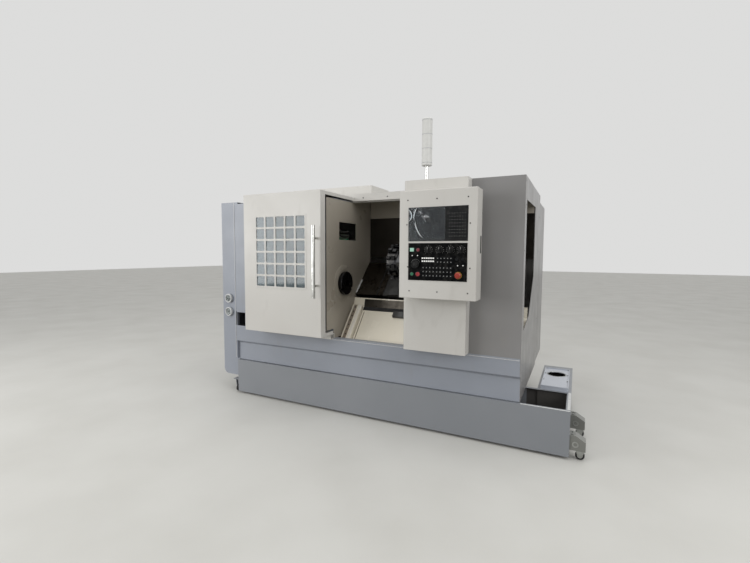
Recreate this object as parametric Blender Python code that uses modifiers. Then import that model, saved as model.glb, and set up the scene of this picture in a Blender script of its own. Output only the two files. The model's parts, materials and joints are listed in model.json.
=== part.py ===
"""CNC turning lathe with a slant bed, a sliding door and a coolant tank on castors.

Metres, +Z up. The machine's front faces -Y, its spindle points along +X and the floor is Z = 0.
Sizes are first written in the machine's own frame: X = 0 is the middle of the enclosure and
Y = 0 is its front plane. One empty then shifts everything, so that the world origin is the
middle of the bounding box, on the floor.
"""

import math

import bmesh
import bpy
from mathutils import Matrix, Vector

# Fits
GAP = 0.0003
RUNNING_GAP = 0.0005
SHEET = 0.003
TOOL_MARGIN = 0.02

# Enclosure
BODY_WIDTH = 2.530
BODY_DEPTH = 1.100
ROOF_Z = 1.840
SILL_Z = 0.625
SILL_DEPTH = 0.055
FOLD_Z = 0.503
FOLD_DROP = 0.020
UNDERCUT = 0.022
BACK_WALL_BOTTOM = 0.400
OPENING_LEFT = -0.200
OPENING_RIGHT = 0.455
LOW_ROOF_Z = 1.770
HEADER_Y = 0.3245
HEADER_DEPTH = 0.036
HEADER_BOTTOM = 1.765
LEDGE_DEPTH = 0.025
LEDGE_BOTTOM = 1.7735
LEDGE_HEIGHT = 0.006
HOOD_INSET = 0.165
HOOD_RIGHT = -0.190
HOOD_FRONT = 0.660
HOOD_BACK_INSET = 0.050
HOOD_TOP = 1.967

# Left end cover and its two pressure gauges
END_COVER_WIDTH = 0.200
END_COVER_FRONT = 0.030
END_COVER_BOTTOM = 0.160
END_COVER_TOP = 1.790
END_COVER_CHAMFER = 0.050
GAUGE_INSET = 0.085
GAUGE_HEIGHTS = (0.892, 0.765)
GAUGE_RADIUS = 0.042
GAUGE_DEPTH = 0.024

# Coolant tank and castors
TANK_TOP = 0.3205
TANK_BOTTOM = 0.020
TANK_LEFT_INSET = 0.005
TANK_RIGHT_REACH = 0.310
TANK_SEAM = 0.004
TROUGH_DEPTH = 0.405
PUMP_BAY_REACH = 0.080
PUMP_BAY_OVERHANG = 0.020
PUMP_DECK = 0.120
TANK_RIM = 0.028
WEIR_BOTTOM = 0.120
LID_LAP = 0.008
LID_LENGTH = 0.534
LID_HEIGHT = 0.025
PUMP_HOLE_SETBACK = 0.360
PUMP_HOLE_RADIUS = 0.066
PUMP_NOTCH_RADIUS = 0.009
CASTOR_OFFSET = 0.050
CASTOR_TRAIL = 0.014
CASTOR_FRONT_Y = 0.050
CASTOR_BACK_Y = 0.420
LEFT_CASTOR_BACK_Y = 0.290
BRACKET_BOTTOM = 0.068
BRACKET_TOP = 0.165
BRACKET_REACH = 0.095
BRACKET_HALF = 0.040
BRACKET_SLOPE_X = 0.058
BRACKET_SLOPE_Z = 0.036
FORK_ROOM = 0.003
FORK_RADIUS = 0.024
FORK_BRIDGE = 0.005
SHELF_THICK = 0.006
WHEEL_RADIUS = 0.028
WHEEL_WIDTH = 0.022
WHEEL_FLOOR_GAP = 0.0006
AXLE_RADIUS = 0.005
CHEEK_THICK = 0.004
CHEEK_CLEARANCE = 0.0006
LEFT_SHELF_Z = 0.120
LEFT_CASTOR_OFFSET = 0.042

# Sliding door
DOOR_LEFT = -0.960
DOOR_RIGHT = -0.187
DOOR_FRONT = -0.207
DOOR_BACK = -0.142
DOOR_BOTTOM = 0.666
DOOR_FOOT_BACK = -0.030
DOOR_FOOT_TOP = 0.691
DOOR_SPLICE = 0.010
DOOR_TOP = 1.807
DOOR_ROOF_BACK = 0.310
DOOR_ROOF_BOTTOM = 1.780
WINDOW_LEFT = -0.837
WINDOW_RIGHT = -0.321
WINDOW_BOTTOM = 1.038
WINDOW_TOP = 1.629
WINDOW_COLUMNS = 5
WINDOW_ROWS = 6
WINDOW_BAR = 0.0145
WINDOW_FRAME = 0.012
CELL_CORNER = 0.005
GLASS_LAP = 0.015
GLASS_THICK = 0.006
HANDLE_X = -0.216
HANDLE_Y = -0.264
HANDLE_RADIUS = 0.014
HANDLE_BOTTOM = 0.979
HANDLE_TOP = 1.534
STANDOFF_HEIGHTS = (1.073, 1.438)
STANDOFF_RADIUS = 0.010
RAIL_INSET = 0.005
RAIL_FRONT = -0.055
PORT_INSET = 0.004
PORT_WIDTH = 0.100
PORT_BOTTOM = 0.645
PORT_TOP = 0.770

# Front column and signal tower
COLUMN_RIGHT = 0.915
COLUMN_FRONT = -0.100
COLUMN_BOTTOM = 0.628
COLUMN_CORNER = 0.018
TOWER_X = 0.535
TOWER_Y = 0.150
POLE_RADIUS = 0.013
POLE_HEIGHT = 0.145
POLE_FOOT_RADIUS = 0.032
LAMP_RADIUS = 0.039
LAMP_HEIGHT = 0.350

# Swinging control console
CONSOLE_LEFT = 0.485
CONSOLE_RIGHT = 1.012
CONSOLE_FRONT = -0.250
CONSOLE_BACK = -0.105
CONSOLE_BOTTOM = 1.023
CONSOLE_TOP = 1.745
CONSOLE_EDGE = 0.004
CONSOLE_HINGE_X = 0.470
CONSOLE_HINGE_Y = -0.109
KNUCKLE_RADIUS = 0.007
KNUCKLE_HEIGHT = 0.040
KNUCKLE_BOTTOMS = (1.100, 1.600)
DISPLAY_LEFT = 0.551
DISPLAY_RIGHT = 0.955
DISPLAY_BOTTOM = 1.408
DISPLAY_TOP = 1.632
PANEL_LEFT = 0.553
PANEL_RIGHT = 0.953
PANEL_BOTTOM = 1.147
PANEL_TOP = 1.395
DISPLAY_BODY = 0.060
PANEL_PROUD = 0.003
PANEL_BODY = 0.020
PULL_BOTTOM = 1.332
PULL_TOP = 1.440
PULL_Y = -0.138

# Controls on the console: place of each centre in X and Z, and radius
ESTOP = (0.898, 1.186, 0.020)
START = (0.5815, 1.188, 0.011)
STOP = (0.6235, 1.188, 0.014)
POWER_OFF = (0.6235, 1.350, 0.011)
POWER_ON = (0.580, 1.351)
POWER_ON_SIZE = (0.027, 0.024)
KNOBS = ((0.694, 1.350), (0.772, 1.350), (0.844, 1.350), (0.914, 1.350))
KNOB_RADIUS = 0.0215
KNOB_DEPTH = 0.020
HANDWHEEL = (0.605, 1.255)
HANDWHEEL_RADIUS = 0.0275
HANDWHEEL_DEPTH = 0.016
BUTTON_PROUD = 0.008
BUTTON_SINK = 0.008
BUTTON_TRAVEL = 0.004

# Slant bed. s runs up the slope, h stands off it, both measured from the spindle's centre line
SLANT = math.radians(45.0)
SPINDLE_Y = 0.165
SPINDLE_Z = 1.070
BED_LEFT_INSET = 0.315
BED_RIGHT_INSET = 0.115
BED_H = -0.330
BED_S_LOW = -0.160
BED_S_HIGH = 0.500
BED_FRONT = 0.420
BED_BACK_INSET = 0.080
BED_FRONT_TOP = 0.600
BED_BACK_TOP = 0.900
BED_SHOULDER = 0.627
BED_WALL = 0.045
FOOT_HEIGHT = 0.035
FOOT_RADIUS = 0.050
RAIL_WIDTH = 0.034
RAIL_HEIGHT = 0.034
SADDLE_RAILS = (0.100, 0.410)
TAILSTOCK_RAILS = (-0.115, -0.010)
TAILSTOCK_RAIL_LEFT = 0.420

# Carriage, turret and covers on the bed
SADDLE_LEFT = 0.120
SADDLE_RIGHT = 0.420
SADDLE_S = (0.060, 0.452)
SADDLE_TOP_H = -0.200
SLIDE_LEFT = 0.232
SLIDE_RIGHT = 0.415
SLIDE_S = (0.120, 0.400)
SLIDE_TOP_H = -0.135
SLIDE_STEP = 0.020
TURRET_S = 0.260
TURRET_LEFT = 0.170
DISC_THICK = 0.090
DISC_RADIUS = 0.122
DISC_RECESS_RADIUS = 0.050
DISC_RECESS_DEPTH = 0.008
STATIONS = 12
HOUSING_LENGTH = 0.240
HOUSING_STEP_LENGTH = 0.095
HOUSING_STEP_DROP = 0.045
HOUSING_HALF = 0.110
TOOL_SIZE = 0.020
TOOL_CENTRE_SHARE = 0.8
TOOL_WIDTH = 0.030
TOOL_ROOT = 0.100
TOOL_REACH = 0.030
Z_TRAVEL = (-0.100, 0.280)
COVER_H = -0.220
COVER_S = (0.064, 0.455)
COVER_SHEET = 0.002
COVER_LIP = 0.020
COVER_LENGTH = 0.215
MIDDLE_COVER_LEFT = -0.145
MIDDLE_COVER_RIGHT = 0.066
GUARD_Y = 0.660
GUARD_BOTTOM = 1.285

# Headstock, spindle and drive
HEADSTOCK_INSET = 0.050
HEADSTOCK_RIGHT = -0.210
HEADSTOCK_FRONT = 0.140
HEADSTOCK_BACK = 0.315
HEADSTOCK_TOP = 0.180
HEADSTOCK_CHEEK = 0.090
HEADSTOCK_FOOT_S = 0.150
HEADSTOCK_HEEL_S = 0.220
JOURNAL_RADIUS = 0.0694
SPINDLE_BORE = 0.031
NOSE_RADIUS = 0.085
NOSE_LINE_X = -0.197
PLATE_RADIUS = 0.098
PLATE_THICK = 0.030
WALL_HOLE_RADIUS = 0.094
WALL_FRONT = -0.104
WALL_FOOT = 0.705
SPINDLE_PULLEY_RADIUS = 0.120
MOTOR_PULLEY_RADIUS = 0.080
PULLEY_WIDTH = 0.100
PULLEY_OFFSET = 0.060
ACTUATOR_RADIUS = 0.105
ACTUATOR_LENGTH = 0.140
ACTUATOR_OFFSET = 0.040
ACTUATOR_NECK = 0.040
SHAFT_RADIUS = 0.048
MOTOR_Y = 0.200
MOTOR_Z = 0.600
MOTOR_RADIUS = 0.125
MOTOR_OFFSET = 0.020
MOTOR_LENGTH = 0.400
MOTOR_FOOT_INSET = 0.060
MOTOR_SHAFT_RADIUS = 0.024
BELT_THICK = 0.006
BELT_MARGIN = 0.010

# Tailstock
TAILSTOCK_INSET = 0.200
TAILSTOCK_LENGTH = 0.310
TAILSTOCK_S = (-0.140, 0.030)
TAILSTOCK_NECK_S = (-0.050, 0.028)
TAILSTOCK_BASE_H = -0.235
BARREL_RADIUS = 0.060
QUILL_RADIUS = 0.0350
QUILL_BORE = 0.0358
QUILL_REACH = 0.140
QUILL_INSET = 0.020
QUILL_CONE_RADIUS = 0.022

# Chip chute
CHUTE_PATH = ((0.358, 0.930), (0.340, 0.852), (0.100, 0.569))
CHUTE_NOTCH_LEFT = 0.425
CHUTE_NOTCH_INSET = 0.100
CHUTE_NOTCH_BOTTOM = 0.700
CHUTE_TRIM_XS = (-0.185, -0.140, -0.105)
CHUTE_TRIM_WIDTH = 0.008
CHUTE_TRIM_HEIGHT = 0.042

# Side opening, an outline in Y and Z
SIDE_OPENING = ((0.100, 0.800), (0.420, 0.860), (0.700, 1.140), (0.700, 1.700), (0.100, 1.690))
INNER_WINDOW = ((0.090, 1.437), (0.375, 1.584))

# Electrical cabinet on the back. Drives are shares of its width, height and depth
CABINET_LEFT = 0.300
CABINET_DEPTH = 0.520
CABINET_BOTTOM = 0.350
CABINET_TOP = 1.780
CABINET_DOOR_THICK = 0.024
PLATE_INSET_X = 0.030
PLATE_INSET_Z = 0.050
SWITCH_INSET = 0.130
SWITCH_Z = 1.450
SWITCH_RADIUS = 0.032
SWITCH_DEPTH = 0.030

CABINET_DRIVES = ((0.083, 0.629, 0.311, 0.888, 0.385), (0.352, 0.629, 0.477, 0.888, 0.346),
                  (0.518, 0.629, 0.643, 0.888, 0.346), (0.083, 0.105, 0.415, 0.315, 0.308),
                  (0.498, 0.091, 0.891, 0.189, 0.212))

# Worked out from the sizes above
BODY_LEFT = -BODY_WIDTH / 2.0
BODY_RIGHT = BODY_WIDTH / 2.0
END_COVER_LEFT = BODY_LEFT - END_COVER_WIDTH
GAUGE_X = END_COVER_LEFT + GAUGE_INSET
HOOD_LEFT = BODY_LEFT + HOOD_INSET
HOOD_BACK = BODY_DEPTH - HOOD_BACK_INSET
PORT_LEFT = BODY_LEFT + PORT_INSET
RAIL_LEFT = DOOR_LEFT + RAIL_INSET
RAIL_RIGHT = DOOR_RIGHT - RAIL_INSET
RAIL_TOP = DOOR_BOTTOM - GAP
POLE_TOP = ROOF_Z + POLE_HEIGHT
LAMP_TOP = POLE_TOP + LAMP_HEIGHT
BED_LEFT = BODY_LEFT + BED_LEFT_INSET
BED_RIGHT = BODY_RIGHT - BED_RIGHT_INSET
BED_BACK = BODY_DEPTH - BED_BACK_INSET
HEADSTOCK_LEFT = BED_LEFT + HEADSTOCK_INSET
TAILSTOCK_RIGHT = BED_RIGHT - TAILSTOCK_INSET
TAILSTOCK_LEFT = TAILSTOCK_RIGHT - TAILSTOCK_LENGTH
QUILL_TIP = TAILSTOCK_LEFT - QUILL_REACH
PULLEY_RIGHT = HEADSTOCK_LEFT - PULLEY_OFFSET
PULLEY_LEFT = PULLEY_RIGHT - PULLEY_WIDTH
ACTUATOR_RIGHT = PULLEY_LEFT - ACTUATOR_OFFSET
ACTUATOR_LEFT = ACTUATOR_RIGHT - ACTUATOR_LENGTH
MOTOR_LEFT = PULLEY_RIGHT + MOTOR_OFFSET
MOTOR_RIGHT = MOTOR_LEFT + MOTOR_LENGTH
CHUTE_NOTCH_RIGHT = BODY_RIGHT - CHUTE_NOTCH_INSET
CABINET_RIGHT = BODY_RIGHT - GAP
CABINET_BACK = BODY_DEPTH + CABINET_DEPTH
SWITCH_X = CABINET_LEFT + SWITCH_INSET
TANK_LEFT = BODY_LEFT + TANK_LEFT_INSET
TANK_RIGHT = BODY_RIGHT + TANK_RIGHT_REACH
PUMP_BAY_LEFT = BODY_RIGHT + PUMP_BAY_REACH
PUMP_BAY_BACK = BODY_DEPTH + PUMP_BAY_OVERHANG
LID_FRONT = TROUGH_DEPTH - LID_LAP / 2.0
PUMP_HOLE_X = (PUMP_BAY_LEFT + TANK_RIGHT) / 2.0
PUMP_HOLE_Y = TROUGH_DEPTH + PUMP_HOLE_SETBACK
CASTOR_YS = (CASTOR_FRONT_Y, CASTOR_BACK_Y)
LEFT_CASTOR_YS = (CASTOR_FRONT_Y, LEFT_CASTOR_BACK_Y)
SIDE_INNER = BODY_RIGHT - SHEET
SKIN_RIGHT = SIDE_INNER - GAP
PANEL_FOOT = TANK_TOP + TANK_SEAM
ROOF_UNDER = ROOF_Z - SHEET - GAP
DISC_RIGHT = TURRET_LEFT + DISC_THICK
HOUSING_LEFT = DISC_RIGHT + GAP
CASTOR_X = TANK_RIGHT + CASTOR_OFFSET
CASTOR_REACH = TANK_RIGHT + BRACKET_REACH
HANDLE_REACH = HANDLE_Y - HANDLE_RADIUS
WHEEL_Z = WHEEL_RADIUS + WHEEL_FLOOR_GAP
SWITCH_REACH = CABINET_BACK + GAP + CABINET_DOOR_THICK + GAP + SWITCH_DEPTH
FRAME_SHIFT = (-(END_COVER_LEFT + CASTOR_REACH) / 2.0, -(HANDLE_REACH + SWITCH_REACH) / 2.0, 0.0)

# Paints and metals: colour, roughness, metallic
CREAM = ("cream_paint", (0.60, 0.59, 0.55), 0.45, 0.0)
GREY = ("grey_paint", (0.27, 0.28, 0.30), 0.40, 0.0)
PALE_GREY = ("pale_grey_paint", (0.36, 0.38, 0.42), 0.40, 0.0)
STAINLESS = ("stainless_sheet", (0.50, 0.49, 0.46), 0.30, 1.0)
DARK_GUARD = ("dark_guard", (0.06, 0.055, 0.05), 0.40, 0.6)
CASTING = ("cast_iron", (0.16, 0.17, 0.18), 0.60, 0.4)
STEEL = ("ground_steel", (0.55, 0.55, 0.56), 0.25, 1.0)
BLACK_OXIDE = ("black_oxide", (0.015, 0.015, 0.017), 0.20, 0.5)
RUBBER = ("black_rubber", (0.02, 0.02, 0.02), 0.80, 0.0)
GLASS = ("window_glass", (0.25, 0.30, 0.32), 0.08, 0.0)
BLACK_PLASTIC = ("black_plastic", (0.018, 0.018, 0.020), 0.35, 0.0)
WHITE_PLASTIC = ("white_plastic", (0.80, 0.80, 0.78), 0.35, 0.0)
RED_PLASTIC = ("red_plastic", (0.55, 0.03, 0.02), 0.35, 0.0)
GREEN_PLASTIC = ("green_plastic", (0.03, 0.35, 0.10), 0.35, 0.0)


def clear_scene():
    for obj in list(bpy.data.objects):
        bpy.data.objects.remove(obj, do_unlink=True)


def new_collection(name):
    collection = bpy.data.collections.new(name)
    bpy.context.scene.collection.children.link(collection)
    return collection


def new_empty(name, location, parent=None):
    """An empty on a joint's axis. Its location is in the machine's own frame."""
    empty = bpy.data.objects.new(name, None)
    MACHINE.objects.link(empty)
    empty.empty_display_size = 0.05
    empty.location = location if parent is None else Vector(location) - PIVOTS[parent.name]
    empty.parent = parent
    PIVOTS[name] = Vector(location) if parent is not None else Vector((0.0, 0.0, 0.0))
    return empty


def paint(obj, look):
    name, colour, roughness, metallic = look
    mat = bpy.data.materials.new(obj.name + "_" + name)
    mat.use_nodes = True
    shader = mat.node_tree.nodes["Principled BSDF"]
    shader.inputs["Base Color"].default_value = (*colour, 1.0)
    shader.inputs["Roughness"].default_value = roughness
    shader.inputs["Metallic"].default_value = metallic
    obj.data.materials.clear()
    obj.data.materials.append(mat)


def from_bmesh(name, bm):
    mesh = bpy.data.meshes.new(name)
    bmesh.ops.recalc_face_normals(bm, faces=bm.faces)
    bm.to_mesh(mesh)
    bm.free()
    return bpy.data.objects.new(name, mesh)


def part(obj, look, pivot=None, round_piece=False):
    """Put a finished piece in the machine, with its origin on the pivot that carries it."""
    pivot = pivot or ORIGIN
    obj.data.transform(Matrix.Translation(-PIVOTS[pivot.name]))
    obj.parent = pivot
    MACHINE.objects.link(obj)
    paint(obj, look)
    if round_piece:
        obj.data.shade_smooth()
        obj.data.set_sharp_from_angle(angle=math.radians(35.0))
    return obj


def tool(obj):
    """A cutter or a shape to join: kept out of the model and out of renders."""
    obj.parent = ORIGIN
    obj.hide_render = True
    obj.display_type = "WIRE"
    CUTTERS.objects.link(obj)
    return obj


def combine(obj, other, operation):
    modifier = obj.modifiers.new(operation.lower() + "_" + other.name, "BOOLEAN")
    modifier.operation = operation
    modifier.solver = "EXACT"
    modifier.object = tool(other)
    return obj


def cut(obj, other):
    return combine(obj, other, "DIFFERENCE")


def join(obj, other):
    return combine(obj, other, "UNION")


def box(name, low, high):
    low, high = Vector(low), Vector(high)
    bm = bmesh.new()
    size = Matrix.Diagonal((high - low).to_4d())
    size[3][3] = 1.0
    bmesh.ops.create_cube(bm, size=1.0, matrix=Matrix.Translation((low + high) / 2.0) @ size)
    return from_bmesh(name, bm)


def soften(obj, width, segments=2):
    modifier = obj.modifiers.new("rounded_edges", "BEVEL")
    modifier.width = width
    modifier.segments = segments
    modifier.limit_method = "ANGLE"
    modifier.angle_limit = math.radians(50.0)
    return obj


def thicken(obj, wall):
    modifier = obj.modifiers.new("sheet", "SOLIDIFY")
    modifier.thickness = wall
    modifier.offset = -1.0
    modifier.use_even_offset = True
    return obj


def open_box(name, low, high, open_sides, wall=SHEET, rounded=None):
    """A folded sheet tray. Its named sides are left open and its wall goes inwards."""
    obj = box(name, low, high)
    bm = bmesh.new()
    bm.from_mesh(obj.data)
    if rounded:
        edge_test, width, segments = rounded
        edges = [e for e in bm.edges if edge_test((e.verts[0].co + e.verts[1].co) / 2.0)]
        bmesh.ops.bevel(bm, geom=edges, offset=width, segments=segments, affect="EDGES", profile=0.5)
    for side in open_sides:
        axis, sign = "XYZ".index(side[1]), 1.0 if side[0] == "+" else -1.0
        faces = [f for f in bm.faces if f.normal[axis] * sign > 0.99]
        bmesh.ops.delete(bm, geom=faces, context="FACES")
    bm.to_mesh(obj.data)
    bm.free()
    return thicken(obj, wall)


def folded(name, path, left, right, wall=SHEET):
    """A sheet folded along a path in Y and Z. Its outer face is on the path's right-hand side."""
    bm = bmesh.new()
    near = [bm.verts.new((left, y, z)) for y, z in path]
    edges = [bm.edges.new(pair) for pair in zip(near, near[1:])]
    bmesh.ops.extrude_edge_only(bm, edges=edges)
    far = [v for v in bm.verts if v not in near]
    bmesh.ops.translate(bm, verts=far, vec=(right - left, 0.0, 0.0))
    bm.normal_update()
    first = Vector((0.0, path[1][0] - path[0][0], path[1][1] - path[0][1]))
    outward = first.cross(Vector((1.0, 0.0, 0.0)))
    face = min(bm.faces, key=lambda f: (f.calc_center_median().yz - Vector(path[0])).length)
    if face.normal.dot(outward) < 0.0:
        bmesh.ops.reverse_faces(bm, faces=bm.faces)
    mesh = bpy.data.meshes.new(name)
    bm.to_mesh(mesh)
    bm.free()
    return thicken(bpy.data.objects.new(name, mesh), wall)


def outline(name, points, low, high, axis="X", holes=()):
    """A flat plate with its outline in the plane across the axis, from low to high on it."""
    curve = bpy.data.curves.new(name, "CURVE")
    curve.dimensions = "2D"
    curve.fill_mode = "BOTH"
    curve.extrude = (high - low) / 2.0
    for loop in (points, *holes):
        spline = curve.splines.new("POLY")
        spline.points.add(len(loop) - 1)
        for point, (u, v) in zip(spline.points, loop):
            point.co = (u, v, 0.0, 1.0)
        spline.use_cyclic_u = True
    guide = bpy.data.objects.new(name + "_outline", curve)
    bpy.context.scene.collection.objects.link(guide)
    bpy.context.view_layer.update()
    graph = bpy.context.evaluated_depsgraph_get()
    mesh = bpy.data.meshes.new_from_object(guide.evaluated_get(graph))
    bpy.data.objects.remove(guide, do_unlink=True)
    turns = {"X": Matrix(((0, 0, 1), (1, 0, 0), (0, 1, 0))), "Y": Matrix(((1, 0, 0), (0, 0, -1), (0, 1, 0))),
             "Z": Matrix.Identity(3)}
    along = {"X": (1, 0, 0), "Y": (0, 1, 0), "Z": (0, 0, 1)}[axis]
    shift = Matrix.Translation(Vector(along) * (low + high) / 2.0)
    mesh.transform(shift @ turns[axis].to_4x4())
    bm = bmesh.new()
    bm.from_mesh(mesh)
    bmesh.ops.remove_doubles(bm, verts=bm.verts, dist=0.00001)
    bmesh.ops.dissolve_limit(bm, angle_limit=math.radians(1.0), verts=bm.verts, edges=bm.edges)
    bpy.data.meshes.remove(mesh)
    return from_bmesh(name, bm)


def rod(name, centre, axis, length, radius, sides=32, tip_radius=None):
    """A cylinder or cone whose middle is at the centre."""
    bm = bmesh.new()
    turn = Vector((0.0, 0.0, 1.0)).rotation_difference(Vector(axis)).to_matrix().to_4x4()
    tip = radius if tip_radius is None else tip_radius
    place = Matrix.Translation(centre) @ turn
    bmesh.ops.create_cone(bm, cap_ends=True, segments=sides, radius1=radius, radius2=tip, depth=length,
                          matrix=place)
    return from_bmesh(name, bm)


def turned(name, profile, centre, axis, steps=32):
    """A turned piece. Its profile is (radius, distance along the axis), outer side from the top down."""
    mesh = bpy.data.meshes.new(name)
    verts = [(radius, 0.0, along) for radius, along in profile]
    closed = all(radius > 0.0 for radius, along in profile)
    edges = [(i, i + 1) for i in range(len(verts) - 1)] + ([(len(verts) - 1, 0)] if closed else [])
    mesh.from_pydata(verts, edges, [])
    obj = bpy.data.objects.new(name, mesh)
    bpy.context.scene.collection.objects.link(obj)
    screw = obj.modifiers.new("turning", "SCREW")
    screw.axis = "Z"
    screw.steps = steps
    screw.render_steps = steps
    screw.use_merge_vertices = True
    screw.merge_threshold = 0.0001
    bpy.context.view_layer.update()
    solid = bpy.data.meshes.new_from_object(obj.evaluated_get(bpy.context.evaluated_depsgraph_get()))
    bpy.data.objects.remove(obj, do_unlink=True)
    turn = Vector((0.0, 0.0, 1.0)).rotation_difference(Vector(axis)).to_matrix().to_4x4()
    solid.transform(Matrix.Translation(centre) @ turn)
    bm = bmesh.new()
    bm.from_mesh(solid)
    return from_bmesh(name, bm)


def slope(s, h):
    """Y and Z of a point on the slant bed, s up the slope and h off it."""
    return (SPINDLE_Y + s * math.cos(SLANT) - h * math.sin(SLANT),
            SPINDLE_Z + s * math.sin(SLANT) + h * math.cos(SLANT))


def slant_box(name, xs, ss, hs):
    """A box that lies on the slant bed, between two values of x, s and h."""
    obj = box(name, (xs[0], ss[0], hs[0]), (xs[1], ss[1], hs[1]))
    turn = Matrix.Translation((0.0, SPINDLE_Y, SPINDLE_Z)) @ Matrix.Rotation(SLANT, 4, "X")
    obj.data.transform(turn)
    return obj


def circle(centre, radius, sides):
    return [(centre[0] + radius * math.cos(2.0 * math.pi * i / sides),
             centre[1] + radius * math.sin(2.0 * math.pi * i / sides)) for i in range(sides)]


def rectangle(left, bottom, right, top, corner=0.0):
    """A rectangle in the plane of an outline, with its corners cut off where one is given."""
    if not corner:
        return [(left, bottom), (right, bottom), (right, top), (left, top)]
    return [(left + corner, bottom), (right - corner, bottom), (right, bottom + corner),
            (right, top - corner), (right - corner, top), (left + corner, top),
            (left, top - corner), (left, bottom + corner)]


def bed_casting():
    """One hollow casting: slanted guide face, ground rails and six levelling feet."""
    crest = slope(BED_S_HIGH, BED_H)
    profile = [(BED_FRONT, FOOT_HEIGHT), (BED_FRONT, BED_FRONT_TOP), slope(BED_S_LOW, BED_H), crest,
               (crest[0] + BED_SHOULDER * (BED_BACK - crest[0]), crest[1]), (BED_BACK, BED_BACK_TOP),
               (BED_BACK, FOOT_HEIGHT)]
    obj = outline("bed_casting", profile, BED_LEFT, BED_RIGHT)
    cut(obj, box("bed_hollow", (BED_LEFT + BED_WALL, BED_FRONT + BED_WALL, FOOT_HEIGHT - TOOL_MARGIN),
                 (BED_RIGHT - BED_WALL, BED_BACK - BED_WALL, BED_FRONT_TOP)))
    rail_h = (BED_H - 0.004, BED_H + RAIL_HEIGHT)
    for index, s in enumerate(SADDLE_RAILS):
        span = (s - RAIL_WIDTH / 2.0, s + RAIL_WIDTH / 2.0)
        join(obj, slant_box(f"saddle_rail_{index}", (OPENING_LEFT + 0.010, BED_RIGHT - 0.010), span, rail_h))
    for index, s in enumerate(TAILSTOCK_RAILS):
        span = (s - RAIL_WIDTH / 2.0, s + RAIL_WIDTH / 2.0)
        join(obj, slant_box(f"tailstock_rail_{index}", (TAILSTOCK_RAIL_LEFT, BED_RIGHT - 0.010), span,
                            rail_h))
    inset = FOOT_RADIUS + 0.002
    for index, x in enumerate((BED_LEFT + inset, (BED_LEFT + BED_RIGHT) / 2.0, BED_RIGHT - inset)):
        for row, y in enumerate((BED_FRONT + inset, BED_BACK - inset)):
            centre = (x, y, (FOOT_HEIGHT + 0.004) / 2.0)
            join(obj, rod(f"foot_{index}_{row}", centre, (0, 0, 1), FOOT_HEIGHT + 0.004, FOOT_RADIUS, 16))
    part(obj, CASTING)


def headstock():
    foot = BED_H + GAP
    front, back = SPINDLE_Y - HEADSTOCK_FRONT, SPINDLE_Y + HEADSTOCK_BACK
    top = SPINDLE_Z + HEADSTOCK_TOP
    chin = SPINDLE_Z - HEADSTOCK_FRONT - HEADSTOCK_CHEEK / 2.0
    profile = [slope(-HEADSTOCK_FOOT_S, foot), (front + HEADSTOCK_CHEEK, chin),
               (front, SPINDLE_Z - HEADSTOCK_CHEEK), (front, SPINDLE_Z + HEADSTOCK_CHEEK),
               (front + HEADSTOCK_CHEEK, top), (back - HEADSTOCK_TOP, top), (back, SPINDLE_Z),
               slope(HEADSTOCK_HEEL_S, foot)]
    obj = outline("headstock", profile, HEADSTOCK_LEFT, HEADSTOCK_RIGHT)
    middle = ((HEADSTOCK_LEFT + HEADSTOCK_RIGHT) / 2.0, SPINDLE_Y, SPINDLE_Z)
    length = HEADSTOCK_RIGHT - HEADSTOCK_LEFT + TOOL_MARGIN
    cut(obj, rod("headstock_bore", middle, (1, 0, 0), length, JOURNAL_RADIUS + RUNNING_GAP, 48))
    part(obj, CASTING)


def spindle(pivot):
    """The hollow spindle with its belt pulley and its rear actuator, turned about X."""
    nose = OPENING_LEFT + SHEET
    outer = [(NOSE_RADIUS, nose), (NOSE_RADIUS, HEADSTOCK_RIGHT + RUNNING_GAP),
             (JOURNAL_RADIUS, HEADSTOCK_RIGHT + RUNNING_GAP), (JOURNAL_RADIUS, HEADSTOCK_LEFT - 0.015),
             (SHAFT_RADIUS, HEADSTOCK_LEFT - 0.015), (SHAFT_RADIUS, PULLEY_RIGHT),
             (SPINDLE_PULLEY_RADIUS, PULLEY_RIGHT), (SPINDLE_PULLEY_RADIUS, PULLEY_LEFT),
             (SHAFT_RADIUS, PULLEY_LEFT), (SHAFT_RADIUS, ACTUATOR_RIGHT), (ACTUATOR_RADIUS, ACTUATOR_RIGHT),
             (ACTUATOR_RADIUS, ACTUATOR_LEFT + ACTUATOR_NECK), (SHAFT_RADIUS, ACTUATOR_LEFT + ACTUATOR_NECK),
             (SHAFT_RADIUS, ACTUATOR_LEFT), (SPINDLE_BORE, ACTUATOR_LEFT), (SPINDLE_BORE, nose)]
    centre = (0.0, SPINDLE_Y, SPINDLE_Z)
    part(turned("spindle_shaft", outer, centre, (1, 0, 0), 40), STEEL, pivot, True)
    left = nose + GAP
    right = left + PLATE_THICK
    chamfer = 0.003
    disc = [(SPINDLE_BORE, right), (PLATE_RADIUS - chamfer, right), (PLATE_RADIUS, right - chamfer),
            (PLATE_RADIUS, left), (SPINDLE_BORE, left)]
    plate = turned("face_plate", disc, centre, (1, 0, 0), 48)
    slot_half, slot_depth = 0.007, 0.012
    for index in range(3):
        slot = box(f"plate_slot_{index}", (right - slot_depth, -slot_half, 0.048),
                   (right + TOOL_MARGIN, slot_half, PLATE_RADIUS + TOOL_MARGIN))
        turn = Matrix.Rotation(index * 2.0 * math.pi / 3.0, 4, "X")
        slot.data.transform(Matrix.Translation(centre) @ turn)
        cut(plate, slot)
    part(plate, BLACK_OXIDE, pivot, True)


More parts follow.
